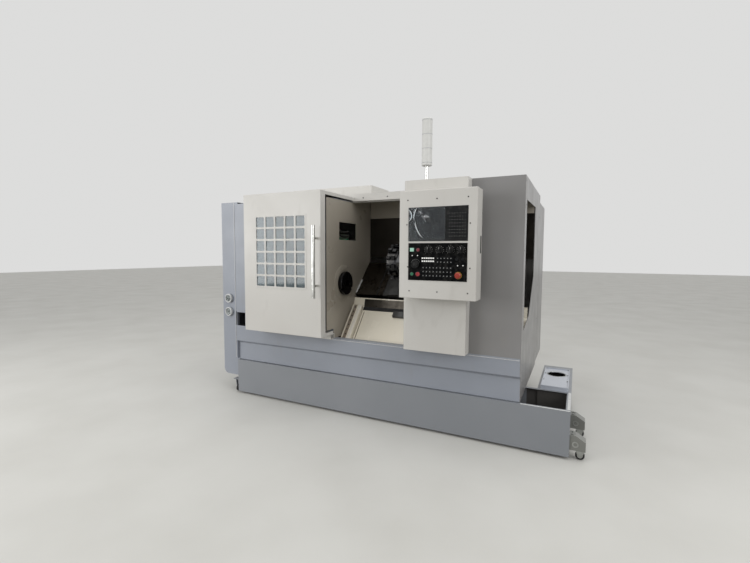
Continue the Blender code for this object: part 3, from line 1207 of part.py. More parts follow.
def join_cheeks(obj, name, centre, axle, top):
    """Two tapered cheeks and the axle between them, for a wheel whose axle runs along X or Y."""
    along, across = centre if axle == "X" else reversed(centre)
    inner = WHEEL_WIDTH / 2.0 + CHEEK_CLEARANCE
    shape = [(across - 0.011, WHEEL_Z - 0.011), (across + 0.011, WHEEL_Z - 0.011), (across + 0.026, top),
             (across - 0.026, top)]
    for side, low in (("near", along - inner - CHEEK_THICK), ("far", along + inner)):
        join(obj, outline(f"{name}_{side}_cheek", shape, low, low + CHEEK_THICK, axis=axle))
    heading = (1, 0, 0) if axle == "X" else (0, 1, 0)
    join(obj, rod(name + "_axle", (*centre, WHEEL_Z), heading, 2.0 * (inner + 0.001), AXLE_RADIUS, 16))


def castor_forks():
    """Two swivelling forks under the brackets. Each wheel trails to the right of its swivel axis."""
    pivots = []
    for index, y in enumerate(CASTOR_YS, start=1):
        pivot = new_empty(f"castor_swivel_{index}", (CASTOR_X, y, BRACKET_BOTTOM), TANK_PIVOT)
        top = BRACKET_BOTTOM - RUNNING_GAP
        bridge = WHEEL_Z + WHEEL_RADIUS + FORK_ROOM
        middle = (CASTOR_X, y, (bridge + top) / 2.0)
        obj = rod(f"castor_fork_{index}", middle, (0, 0, 1), top - bridge, FORK_RADIUS, 24)
        half = WHEEL_WIDTH / 2.0 + CHEEK_CLEARANCE + CHEEK_THICK
        wheel_x = CASTOR_X + CASTOR_TRAIL
        join(obj, box(f"fork_bridge_{index}", (CASTOR_X - half, y - half, bridge),
                      (wheel_x + 0.026, y + half, bridge + FORK_BRIDGE)))
        join_cheeks(obj, f"fork_{index}", (wheel_x, y), "Y", bridge + 0.001)
        part(obj, PALE_GREY, pivot)
        pivots.append(pivot)
    return pivots


def castor_wheels(fork_pivots):
    """Four wheels with a bore for the axle, two under the forks and two in the tank's own cheeks."""
    half, edge = WHEEL_WIDTH / 2.0, 0.003
    bore = AXLE_RADIUS + RUNNING_GAP
    places = [(CASTOR_X + CASTOR_TRAIL, y, (0, 1, 0), fork) for y, fork in zip(CASTOR_YS, fork_pivots)]
    places += [(TANK_LEFT - LEFT_CASTOR_OFFSET, y, (1, 0, 0), TANK_PIVOT) for y in LEFT_CASTOR_YS]
    profile = [(bore, half), (WHEEL_RADIUS - edge, half), (WHEEL_RADIUS, half - edge),
               (WHEEL_RADIUS, edge - half), (WHEEL_RADIUS - edge, -half), (bore, -half)]
    for index, (x, y, axle, carrier) in enumerate(places, start=1):
        pivot = new_empty(f"castor_axle_{index}", (x, y, WHEEL_Z), carrier)
        part(turned(f"castor_wheel_{index}", profile, (x, y, WHEEL_Z), axle, 28), RUBBER, pivot, True)


def pump_plate(pivot):
    """The raised lid of the pump bay. Its hole is empty, with four notches round it for a pump flange."""
    bottom = TANK_TOP + GAP
    left, right = PUMP_BAY_LEFT + TANK_RIM - LID_LAP, TANK_RIGHT - TANK_RIM + LID_LAP
    obj = box("pump_plate", (left, LID_FRONT, bottom), (right, LID_FRONT + LID_LENGTH, bottom + LID_HEIGHT))
    cut(obj, box("lid_hollow", (left + SHEET, LID_FRONT + SHEET, bottom - TOOL_MARGIN),
                 (right - SHEET, LID_FRONT + LID_LENGTH - SHEET, bottom + LID_HEIGHT - SHEET)))
    steps, ring = 40, []
    for index in range(steps):
        angle = 2.0 * math.pi * index / steps
        notch = PUMP_NOTCH_RADIUS if index % (steps // 4) == steps // 8 else 0.0
        radius = PUMP_HOLE_RADIUS + notch
        ring.append((PUMP_HOLE_X + radius * math.cos(angle), PUMP_HOLE_Y + radius * math.sin(angle)))
    cut(obj, outline("pump_hole_cut", ring, bottom, bottom + LID_HEIGHT + TOOL_MARGIN, axis="Z"))
    part(obj, PALE_GREY, pivot)


def cabinet():
    low, high = (CABINET_LEFT, BODY_DEPTH + GAP, CABINET_BOTTOM), (CABINET_RIGHT, CABINET_BACK, CABINET_TOP)
    part(open_box("cabinet_shell", low, high, ("+Y",)), GREY)
    front = BODY_DEPTH + GAP + SHEET + GAP
    plate = box("cabinet_backplate", (CABINET_LEFT + PLATE_INSET_X, front, CABINET_BOTTOM + PLATE_INSET_Z),
                (CABINET_RIGHT - PLATE_INSET_X, front + SHEET, CABINET_TOP - PLATE_INSET_Z))
    width, height = CABINET_RIGHT - CABINET_LEFT, CABINET_TOP - CABINET_BOTTOM
    for index, (left, bottom, right, top, depth) in enumerate(CABINET_DRIVES):
        low = (CABINET_LEFT + left * width, front + SHEET - 0.001, CABINET_BOTTOM + bottom * height)
        high = (CABINET_LEFT + right * width, front + depth * CABINET_DEPTH, CABINET_BOTTOM + top * height)
        join(plate, box(f"drive_{index}", low, high))
    part(plate, STAINLESS)


def cabinet_door(pivot, switch_pivot):
    """The cabinet's back door, a closed leaf, and the main switch on it."""
    inner = CABINET_BACK + GAP
    outer = inner + CABINET_DOOR_THICK
    door = box("cabinet_door", (CABINET_LEFT, inner, CABINET_BOTTOM), (CABINET_RIGHT, outer, CABINET_TOP))
    cut(door, box("door_hollow", (CABINET_LEFT + SHEET, inner - TOOL_MARGIN, CABINET_BOTTOM + SHEET),
                  (CABINET_RIGHT - SHEET, outer - SHEET, CABINET_TOP - SHEET)))
    part(door, GREY, pivot)
    base = outer + GAP
    rim, tip = 0.012, base + SWITCH_DEPTH
    profile = [(0.0, rim), (SWITCH_RADIUS - 0.002, rim), (SWITCH_RADIUS, rim - 0.002),
               (SWITCH_RADIUS, 0.0), (0.0, 0.0)]
    obj = turned("main_switch", profile, (SWITCH_X, base, SWITCH_Z), (0, 1, 0), 28)
    join(obj, box("switch_grip", (SWITCH_X - 0.007, base + rim - 0.001, SWITCH_Z - 0.028),
                  (SWITCH_X + 0.007, tip, SWITCH_Z + 0.028)))
    part(obj, RED_PLASTIC, switch_pivot)


clear_scene()
MACHINE = new_collection("cnc_turning_lathe")
CUTTERS = new_collection("cutters")
PIVOTS = {}
ORIGIN = new_empty("machine_origin", FRAME_SHIFT)


def build_enclosure():
    lower_front_panel()
    left_front_panel()
    right_front_panel()
    right_side_panel()
    left_end_cover()
    pressure_gauges()
    roof_panel()
    header()
    left_inner_wall()
    rear_guard()
    chip_chute()
    front_column()
    signal_tower()
    door_bottom_rail()
    cabinet()


def build_drive():
    centre = (NOSE_LINE_X, SPINDLE_Y, SPINDLE_Z)
    bed_casting()
    headstock()
    spindle(new_empty("spindle_axis", centre, ORIGIN))
    spindle_motor(new_empty("motor_axis", (MOTOR_LEFT, MOTOR_Y, MOTOR_Z), ORIGIN))
    drive_belt()


def build_carriage():
    y, z = slope(SADDLE_S[0], SADDLE_TOP_H)
    saddle_pivot = new_empty("saddle_slide", (SADDLE_LEFT, y, z), ORIGIN)
    saddle(saddle_pivot)
    way_covers(new_empty("way_cover_slide", (MIDDLE_COVER_LEFT, y, z), ORIGIN))
    y, z = slope(SLIDE_S[0], SLIDE_TOP_H)
    cross_pivot = new_empty("cross_slide_way", (SLIDE_LEFT, y, z), saddle_pivot)
    cross_slide(cross_pivot)
    turret_housing(cross_pivot)
    y, z = slope(TURRET_S, 0.0)
    turret_disc(new_empty("turret_axis", (TURRET_LEFT, y, z), cross_pivot))
    tailstock_pivot = new_empty("tailstock_slide", (TAILSTOCK_LEFT, SPINDLE_Y, SPINDLE_Z), ORIGIN)
    tailstock(tailstock_pivot)
    quill(new_empty("quill_slide", (QUILL_TIP, SPINDLE_Y, SPINDLE_Z), tailstock_pivot))


def build_door():
    pivot = new_empty("door_slide", (DOOR_LEFT, DOOR_FRONT, DOOR_BOTTOM), ORIGIN)
    door_panel(pivot)
    door_window(pivot)
    door_handle(pivot)


def build_console():
    console_box(CONSOLE_PIVOT)
    display_unit(CONSOLE_PIVOT)
    operator_panel(CONSOLE_PIVOT)
    buttons()
    knobs()


def build_tank():
    coolant_tank(TANK_PIVOT)
    pump_plate(TANK_PIVOT)
    castor_wheels(castor_forks())


def build_cabinet_door():
    outer = CABINET_BACK + GAP + CABINET_DOOR_THICK
    hinge = new_empty("cabinet_hinge", (CABINET_RIGHT, outer, CABINET_BOTTOM), ORIGIN)
    cabinet_door(hinge, new_empty("switch_axis", (SWITCH_X, outer, SWITCH_Z), hinge))


CONSOLE_PIVOT = new_empty("console_hinge", (CONSOLE_HINGE_X, CONSOLE_HINGE_Y, CONSOLE_BOTTOM), ORIGIN)
TANK_PIVOT = new_empty("tank_pull", (0.0, 0.0, TANK_TOP), ORIGIN)
build_enclosure()
build_drive()
build_carriage()
build_door()
build_console()
build_tank()
build_cabinet_door()
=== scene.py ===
"""Looks of a CNC turning lathe: finishes, small fittings, camera, floor and light.

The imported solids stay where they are. Every class below dresses one sub-assembly of the lathe.
All lengths are metres. Places are in the machine's own sizes, which SubAssembly.at turns into the frame's
coordinates, apart from those of the lamps.
"""

import json
import logging
import math
from dataclasses import dataclass
from enum import Enum
from typing import Callable, Iterable, Optional, Sequence

import bmesh
import bpy
from mathutils import Matrix, Vector

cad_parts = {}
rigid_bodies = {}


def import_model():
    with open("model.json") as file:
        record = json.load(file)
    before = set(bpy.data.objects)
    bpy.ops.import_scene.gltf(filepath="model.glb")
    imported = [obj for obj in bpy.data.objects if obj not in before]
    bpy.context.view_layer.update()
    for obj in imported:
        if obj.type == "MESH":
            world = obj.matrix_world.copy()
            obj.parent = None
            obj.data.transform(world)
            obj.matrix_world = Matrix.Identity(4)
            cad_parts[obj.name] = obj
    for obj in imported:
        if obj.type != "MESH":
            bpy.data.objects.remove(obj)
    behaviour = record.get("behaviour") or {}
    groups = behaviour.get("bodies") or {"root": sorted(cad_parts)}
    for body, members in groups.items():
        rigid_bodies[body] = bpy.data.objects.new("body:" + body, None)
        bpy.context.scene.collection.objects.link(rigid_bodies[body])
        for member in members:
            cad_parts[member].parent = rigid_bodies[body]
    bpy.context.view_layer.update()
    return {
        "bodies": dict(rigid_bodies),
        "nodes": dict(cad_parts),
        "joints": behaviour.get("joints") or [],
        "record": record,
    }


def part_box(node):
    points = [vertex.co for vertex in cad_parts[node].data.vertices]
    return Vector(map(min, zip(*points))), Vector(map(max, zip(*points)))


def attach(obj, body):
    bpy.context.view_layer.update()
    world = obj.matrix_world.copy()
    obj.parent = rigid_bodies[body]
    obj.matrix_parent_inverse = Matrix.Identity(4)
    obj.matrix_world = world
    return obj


log = logging.getLogger("lathe_looks")
Pair = tuple[float, float]
Point = tuple[float, float, float]
Area = tuple[float, float, float, float]
Box = tuple[Point, Point]
Socket = bpy.types.NodeSocket

HALF_ROOT = 0.70710678  # sine and cosine of the bed's 45 degree slant
SPINDLE_Y, SPINDLE_Z = 0.165, 1.070
HALF_WIDTH = 1.265  # half the body's width, from its middle to its right side
MERGE_DISTANCE = 0.000001
SHARP_DEGREES = 32.0  # an edge that bends more than this stays crisp on a smooth piece
ANY_TURN = 6.28  # the widest random turn of a screw, just under a full one
CORNER_ON = math.pi / 4.0  # sets a four-sided fitting square to its face
EVEN = (1.0, 1.0, 1.0)


class Facing(Enum):
    """The way a small fitting points."""

    FRONT = (0.0, -1.0, 0.0)
    BACK = (0.0, 1.0, 0.0)
    RIGHT = (1.0, 0.0, 0.0)
    LEFT = (-1.0, 0.0, 0.0)
    UP = (0.0, 0.0, 1.0)
    SLANT = (0.0, -HALF_ROOT, HALF_ROOT)

    def matrix(self) -> Matrix:
        """Gives the turn that takes +Z to this facing, with +Y kept as upright as it can be.

        Returns:
            The turn as a matrix.
        """
        out = Vector(self.value)
        up = Vector((0.0, 1.0, 0.0)) if self is Facing.UP else Vector((0.0, 0.0, 1.0))
        right = up.cross(out).normalized()
        return Matrix((right, out.cross(right), out)).transposed().to_4x4()


def linear(code: str) -> tuple[float, float, float, float]:
    """Turns an sRGB hex colour into linear light.

    Args:
        code: the colour as six hex digits.

    Returns:
        Red, green, blue and an alpha of one.
    """
    parts = [int(code[i:i + 2], 16) / 255.0 for i in (0, 2, 4)]
    red, green, blue = [c / 12.92 if c <= 0.04045 else ((c + 0.055) / 1.055) ** 2.4 for c in parts]
    return red, green, blue, 1.0


def add(tree: bpy.types.NodeTree, kind: str, inputs: Optional[dict] = None,
        **settings: object) -> bpy.types.Node:
    """Adds one node to a tree.

    Args:
        tree: the material's or the modifier's node tree.
        kind: the node's type name.
        inputs: by socket name or number, a value or the output socket that feeds it.
        **settings: the node's own properties.

    Returns:
        The new node.
    """
    node = tree.nodes.new(kind)
    for key, value in settings.items():
        setattr(node, key, value)
    for key, value in (inputs or {}).items():
        if isinstance(value, Socket):
            tree.links.new(value, node.inputs[key])
        else:
            node.inputs[key].default_value = value
    return node


class Surface:
    """A material that is being built: its tree, its shader and its coordinates in metres."""

    def __init__(self, name: str, colour: str, roughness: float, metallic: float = 0.0,
                 ior: float = 1.5) -> None:
        """Starts a Principled material on Object coordinates.

        Args:
            name: the material's name.
            colour: its main colour as six hex digits.
            roughness: how rough it is.
            metallic: how much of a metal it is.
            ior: its index of refraction, which a metal leaves at the default.
        """
        self.material = bpy.data.materials.new(name)
        self.material.use_nodes = True
        self.tree = self.material.node_tree
        self.shader = self.tree.nodes["Principled BSDF"]
        self.roughness = roughness
        self.give(Base_Color=linear(colour), Roughness=roughness, Metallic=metallic)
        if metallic < 0.5:
            self.give(IOR=ior)
        self.place = add(self.tree, "ShaderNodeTexCoord").outputs["Object"]

    def give(self, **values: object) -> None:
        """Sets the shader's own inputs, with spaces written as underscores."""
        for word, value in values.items():
            self.shader.inputs[word.replace("_", " ")].default_value = value

    def noise(self, size: float, detail: float = 3.0, scale: Point = EVEN) -> Socket:
        """Gives a noise whose patches are about a size in metres.

        Args:
            size: the width of a patch.
            detail: the number of finer layers.
            scale: a stretch on each axis, below one along a brushed direction.

        Returns:
            The noise's value socket.
        """
        place = add(self.tree, "ShaderNodeMapping", {"Vector": self.place, "Scale": scale}).outputs["Vector"]
        node = add(self.tree, "ShaderNodeTexNoise", {"Vector": place, "Scale": 1.0 / size, "Detail": detail})
        return node.outputs["Fac"]

    def band(self, value: Socket, low: float, high: float, start: float, end: float) -> Socket:
        """Maps a value from one range to another.

        Args:
            value: what is mapped.
            low: where its range begins.
            high: where its range stops.
            start: what the low end becomes.
            end: what the high end becomes.

        Returns:
            The mapped value's socket.
        """
        node = add(self.tree, "ShaderNodeMapRange", {"Value": value, "From Min": low, "From Max": high,
                                                     "To Min": start, "To Max": end})
        return node.outputs["Result"]

    def times(self, one: Socket, two: Socket) -> Socket:
        """Gives the product of two values."""
        return add(self.tree, "ShaderNodeMath", {0: one, 1: two}, operation="MULTIPLY").outputs[0]

    def tint(self, amount: Socket, other: str) -> None:
        """Mixes the colour towards another.

        Args:
            amount: how far, from 0 to 1.
            other: the other colour as six hex digits.
        """
        link = self.shader.inputs["Base Color"]
        mix = add(self.tree, "ShaderNodeMix", {"Factor": amount, "B": linear(other)}, data_type="RGBA")
        if link.is_linked:
            self.tree.links.new(link.links[0].from_socket, mix.inputs["A"])
        else:
            mix.inputs["A"].default_value = link.default_value
        self.tree.links.new(mix.outputs["Result"], link)

    def mottle(self, other: str, size: float, detail: float, low: float, high: float, amount: float,
               scale: Point = EVEN) -> None:
        """Tints the patches of a noise with another colour, between a low and a high value of it."""
        self.tint(self.band(self.noise(size, detail, scale), low, high, 0.0, amount), other)

    def wear(self, amount: Socket, spread: float) -> None:
        """Lets the roughness vary round its own value."""
        low, high = max(0.02, self.roughness - spread), min(1.0, self.roughness + spread)
        self.tree.links.new(self.band(amount, 0.3, 0.7, low, high), self.shader.inputs["Roughness"])

    def bump(self, height: Socket, depth: float) -> None:
        """Adds a bump on top of those added before.

        Args:
            height: the pattern that is raised.
            depth: how far it is raised.
        """
        link = self.shader.inputs["Normal"]
        inputs: dict = {"Height": height, "Distance": depth, "Strength": 1.0}
        if link.is_linked:
            inputs["Normal"] = link.links[0].from_socket
        node = add(self.tree, "ShaderNodeBump", inputs)
        self.tree.links.new(node.outputs["Normal"], link)

    def enamel(self, peel: float) -> None:
        """Gives a sprayed skin: an uneven shine, an orange peel and a thin clear coat.

        Args:
            peel: the width of the peel's cells.
        """
        self.wear(self.noise(0.16, 4.0), 0.07)
        self.bump(self.noise(peel, 1.0), 0.00005)
        self.give(Coat_Weight=0.12, Coat_Roughness=0.18)


@dataclass(frozen=True)
class Finish:
    """What every finish has: the material's name and its main colour."""

    name: str
    colour: str


@dataclass(frozen=True)
class PowderCoat(Finish):
    """Powder-coated steel sheet: an even, slightly glossy skin with a fine orange peel."""

    shade: str
    roughness: float = 0.42
    dust: str = "8F8A80"
    peel: float = 0.0035

    def build(self) -> bpy.types.Material:
        """Builds the material. Peel cells are 3.5 mm, drawn coarser than the real 1 mm so that they show.

        Returns:
            The finished material.
        """
        s = Surface(self.name, self.colour, self.roughness)
        s.mottle(self.shade, 0.55, 2.0, 0.35, 0.70, 0.55)
        s.mottle(self.dust, 0.09, 5.0, 0.60, 0.78, 0.16, (1.0, 1.0, 0.35))
        s.enamel(self.peel)
        return s.material


@dataclass(frozen=True)
class TankSkin(PowderCoat):
    """Powder-coated tank: clean outside, painted darker inside the trough as shade, bare zinc on the castor
    brackets.
    """

    painted_trough_shade: str = "4C4843"
    zinc: str = "77776F"
    inside_left: float = 1.1665
    inside_right: float = 1.4705
    inside_front: float = -0.6965
    rim: Pair = (0.3175, 0.3195)

    def build(self) -> bpy.types.Material:
        """Builds the material. The painted shade darkens the walls of the open trough, up to its rim.

        Returns:
            The finished material.
        """
        s = Surface(self.name, self.colour, self.roughness)
        s.mottle(self.shade, 0.55, 2.0, 0.35, 0.70, 0.55)
        split = add(s.tree, "ShaderNodeSeparateXYZ", {0: s.place}).outputs
        right = s.band(split["X"], self.inside_right, self.inside_right + 0.001, 1.0, 0.0)
        left = s.band(split["X"], self.inside_left, self.inside_left + 0.001, 0.0, 1.0)
        front = s.band(split["Y"], self.inside_front, self.inside_front + 0.001, 0.0, 1.0)
        below = s.band(split["Z"], *self.rim, 0.88, 0.0)
        # Painted shade: darkens the inside of the open trough below its rim.
        s.tint(s.times(s.times(right, left), s.times(front, below)), self.painted_trough_shade)
        bracket = s.band(split["X"], self.inside_right + 0.0025, self.inside_right + 0.0030, 0.0, 0.8)
        s.tint(bracket, self.zinc)
        s.enamel(self.peel)
        return s.material


@dataclass(frozen=True)
class BrushedSteel(Finish):
    """Stainless sheet or tube: long fine lines along one axis and faint finger smears."""

    roughness: float
    along: Point
    stain: str = "6E6A62"

    def build(self) -> bpy.types.Material:
        """Builds the material. Lines are 0.8 mm apart, coarser than the real grit so that they show.

        Returns:
            The finished material.
        """
        s = Surface(self.name, self.colour, self.roughness, 1.0)
        lines = s.noise(0.0008, 2.0, self.along)
        s.tint(s.band(lines, 0.35, 0.65, 0.0, 0.20), self.stain)
        s.mottle(self.stain, 0.12, 4.0, 0.50, 0.80, 0.35)
        s.wear(s.noise(0.05, 4.0), 0.10)
        s.bump(lines, 0.00003)
        return s.material


@dataclass(frozen=True)
class OiledCasting(Finish):
    """Machined grey iron with a film of oil: dark, mottled, with soft patches of shine."""

    roughness: float = 0.42

    def build(self) -> bpy.types.Material:
        """Builds the material. Grain is 2 mm and oil patches are 70 mm wide.

        Returns:
            The finished material.
        """
        s = Surface(self.name, self.colour, self.roughness, 0.75)
        s.mottle("2B2926", 0.07, 4.0, 0.40, 0.70, 0.6)
        s.wear(s.noise(0.07, 3.0), 0.16)
        s.bump(s.noise(0.002, 3.0), 0.00010)
        return s.material


@dataclass(frozen=True)
class GroundSteel(Finish):
    """Ground or turned steel: bright, with fine rings or lines and darker handled patches."""

    roughness: float = 0.24
    along: Point = (1.0, 0.08, 0.08)

    def build(self) -> bpy.types.Material:
        """Builds the material. Turning marks are 0.6 mm apart.

        Returns:
            The finished material.
        """
        s = Surface(self.name, self.colour, self.roughness, 1.0)
        marks = s.noise(0.0006, 2.0, self.along)
        s.mottle("7C7A76", 0.04, 3.0, 0.45, 0.75, 0.4)
        s.wear(marks, 0.08)
        s.bump(marks, 0.00002)
        return s.material


@dataclass(frozen=True)
class BlackOxide(Finish):
    """Blackened steel with an oil finish: nearly black and glossy, with faint turned rings."""

    roughness: float

    def build(self) -> bpy.types.Material:
        """Builds the material. Smears are 20 mm wide.

        Returns:
            The finished material.
        """
        s = Surface(self.name, self.colour, self.roughness, 0.6)
        s.mottle("2C2B2B", 0.02, 4.0, 0.50, 0.80, 0.35)
        s.wear(s.noise(0.015, 4.0), 0.08)
        s.bump(s.noise(0.0015, 2.0), 0.00002)
        return s.material


@dataclass(frozen=True)
class MouldedPlastic(Finish):
    """Injection-moulded ABS or polycarbonate: even colour with a fine eroded grain."""

    roughness: float
    grain: float = 0.0012
    glow: float = 0.0
    ior: float = 1.46

    def build(self) -> bpy.types.Material:
        """Builds the material. A glow is light that a lit cap gives; on the white film creases and the white
        keys it is a painted glow.

        Returns:
            The finished material.
        """
        s = Surface(self.name, self.colour, self.roughness, 0.0, self.ior)
        s.mottle("7A7772", 0.02, 3.0, 0.45, 0.80, 0.10)
        s.wear(s.noise(0.02, 3.0), 0.06)
        s.bump(s.noise(self.grain, 2.0), 0.00002)
        if self.glow > 0.0:
            s.give(Emission_Color=linear(self.colour), Emission_Strength=self.glow)
        return s.material


@dataclass(frozen=True)
class WindowGlass(Finish):
    """Laminated safety glass: slightly green, with a clear mirror-like surface."""

    roughness: float
    transmission: float
    ripple: float = 0.00003
    ripple_size: float = 0.06

    def build(self) -> bpy.types.Material:
        """Builds the material. A long weak ripple bends the reflections as real sheet glass does.

        Returns:
            The finished material.
        """
        s = Surface(self.name, self.colour, self.roughness, 0.0, 1.52)
        s.give(Transmission_Weight=self.transmission)
        s.mottle("9DA3A2", 0.05, 4.0, 0.55, 0.80, 0.25)
        s.bump(s.noise(self.ripple_size, 1.0), self.ripple)
        return s.material


@dataclass(frozen=True)
class ClearFilm(Finish):
    """Loose protective film: clear and glossy, so that only its folds catch the light."""

    roughness: float = 0.12
    opacity: float = 0.80

    def build(self) -> bpy.types.Material:
        """Builds the material. Fine creases are 9 mm apart.

        Returns:
            The finished material.
        """
        s = Surface(self.name, self.colour, self.roughness, 0.0, 1.48)
        s.give(Transmission_Weight=1.0, Alpha=self.opacity)
        s.wear(s.noise(0.02, 3.0), 0.05)
        s.bump(s.noise(0.009, 2.0), 0.0003)
        return s.material


@dataclass(frozen=True)
class Rubber(Finish):
    """Vulcanised black rubber: dull, a little grey with dust."""

    def build(self) -> bpy.types.Material:
        """Builds the material. Dust patches are 12 mm wide.

        Returns:
            The finished material.
        """
        s = Surface(self.name, self.colour, 0.78)
        s.mottle("55524D", 0.012, 4.0, 0.50, 0.80, 0.35)
        s.bump(s.noise(0.0015, 3.0), 0.00006)
        return s.material


@dataclass(frozen=True)
class Concrete(Finish):
    """Sealed pale concrete: cloudy, with fine specks and a faint sheen."""

    bounce: str = "8F8D87"

    def build(self) -> bpy.types.Material:
        """Builds the material. Clouds are 0.7 m and specks 6 mm wide. It bounces less light than it shows.

        Returns:
            The finished material.
        """
        s = Surface(self.name, self.colour, 0.55)
        s.mottle("BAB8B1", 0.7, 5.0, 0.40, 0.70, 0.28)
        s.mottle("ABA9A2", 0.006, 2.0, 0.60, 0.80, 0.15)
        s.tint(add(s.tree, "ShaderNodeLightPath").outputs["Is Diffuse Ray"], self.bounce)
        s.wear(s.noise(0.5, 3.0), 0.10)
        return s.material


FINISHES = {
    "cream": PowderCoat("cream_powder_coat", "CECCC7", "C3C0BA"),
    # Painted shade: a darker copy of the cream paint for the parts inside the work space.
    "cream_in_painted_shade": PowderCoat("cream_wall_enamel_painted_shade", "A59E92", "8F887C", 0.32),
    "slope": PowderCoat("cream_chute_enamel", "F1EAD9", "DFD5C0", 0.24, dust="A39279"),
    "grey": PowderCoat("grey_powder_coat", "8B8A8A", "7D7B79", 0.36),
    "pale_grey": PowderCoat("pale_grey_powder_coat", "979CA6", "8B9099", 0.36),
    "tank": TankSkin("tank_powder_coat", "8B8E93", "81858A", 0.36),
    "lid": PowderCoat("pump_lid_powder_coat", "C6CBD4", "B6BCC7", 0.22),
    # The chute's bright strip: cream paint drawn lighter than the cream, partly its own colour and partly a
    # painted highlight.
    "cream_edge": PowderCoat("cream_enamel_painted_highlight", "EAE5DA", "DAD3C4", 0.28),
    # Brown-grey weathered steel on the riveted strip; on the two thin seams beside the ridge it is a painted
    # shadow line.
    "weathered_and_shadow": PowderCoat("weathered_steel_and_painted_shadow", "8D8172", "6F6456", 0.30, dust="5A4F42"),
    # White paint on the gauge bezels; on the seam, sill and tank rim strips it is a painted highlight.
    "bright_edge": PowderCoat("white_enamel_and_painted_highlight", "D6D7D6", "C2C3C3", 0.30),
    "stainless": BrushedSteel("brushed_stainless_sheet", "423E39", 0.34, (0.04, 1.0, 1.0)),
    "tube": GroundSteel("polished_stainless_tube", "DEDEDB", 0.20, (0.14, 0.14, 0.01)),
    "guard": BrushedSteel("dark_oiled_steel_sheet", "35322E", 0.38, (1.0, 1.0, 0.05), "1E1C1A"),
    "cover": BrushedSteel("oiled_way_cover_steel", "423D36", 0.32, (0.05, 1.0, 1.0), "2C2924"),
    "iron": OiledCasting("oiled_machined_iron", "4A4A49"),
    "housing": PowderCoat("charcoal_casting_enamel", "37383A", "2C2D2E", 0.30),
    "steel": GroundSteel("ground_steel", "B9BABB"),
    "disc": GroundSteel("turned_turret_steel", "2A2A2B", 0.28),
    "black_oxide": BlackOxide("black_oxide_steel", "141415", 0.16),
    "socket_screw": BlackOxide("blackened_socket_screw", "2A2A2B", 0.30),
    "zinc": GroundSteel("zinc_plated_steel", "A9ABA8", 0.34, EVEN),
    "rubber": Rubber("vulcanised_rubber", "1B1B1C"),
    "window": WindowGlass("laminated_window_glass", "76868C", 0.05, 0.60, 0.0004, 0.12),
    "cover_glass": WindowGlass("clear_dial_glass", "F2F5F4", 0.02, 1.0),
    "screen": MouldedPlastic("dark_screen_glass", "10171D", 0.30, ior=1.16),
    "film": ClearFilm("clear_protective_film", "DDE6EC"),
    # The creases are white stress marks; their glow is a painted highlight.
    "crease": MouldedPlastic("white_film_crease_painted_glow", "E2E8EA", 0.25, glow=0.18),
    "window_sheet": PowderCoat("green_grey_cover_enamel", "76806F", "5F685B", 0.34),
    "black": MouldedPlastic("black_abs", "101112", 0.34, ior=1.30),
    "membrane": MouldedPlastic("black_key_membrane", "08090A", 0.50, 0.0009, ior=1.12),
    "key": MouldedPlastic("dark_grey_key_caps", "17191B", 0.42, ior=1.18),
    "ink": MouldedPlastic("white_legend_ink", "B9B9B5", 0.55),
    "white": MouldedPlastic("white_polycarbonate", "D6D6D3", 0.34, glow=0.02),
    # Painted glow: the white key caps glow a little though they are no lamps; the signal dots share this
    # finish.
    "white_key": MouldedPlastic("white_key_caps_painted_glow", "EDEDEA", 0.35, glow=0.15),
    "red": MouldedPlastic("red_polycarbonate", "96272E", 0.26),
    "orange_red": MouldedPlastic("red_push_cap", "9E3325", 0.20),
    "green": MouldedPlastic("green_polycarbonate", "2B7050", 0.28),
    "pale_green": MouldedPlastic("pale_green_lit_cap", "9CC7B4", 0.30, glow=0.15),
    "yellow": MouldedPlastic("yellow_abs_ring", "8F6F1E", 0.34),
    "dial": MouldedPlastic("pale_dial_card", "A9ADB0", 0.50),
    "dark_red": MouldedPlastic("dim_red_lens", "7A2B35", 0.28),
    "concrete": Concrete("sealed_concrete", "D2D1CC"),
}


class Palette:
    """Builds each finish once and dresses nodes and pieces in it."""

    def __init__(self) -> None:
        """Starts with no finish built."""
        self.built: dict[str, bpy.types.Material] = {}

    def get(self, key: str) -> bpy.types.Material:
        """Gives the material of a finish, built when it is first asked for.

        Args:
            key: the finish.

        Returns:
            Its material.
        """
        if key not in self.built:
            self.built[key] = FINISHES[key].build()
        return self.built[key]

    def dress(self, frame: dict, nodes: Iterable[str], key: str) -> None:
        """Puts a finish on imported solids.

        Args:
            nodes: the solids' names.
            key: the finish.
        """
        for name in nodes:
            obj = frame["nodes"][name]
            for held in obj.material_slots:
                held.material = self.get(key)


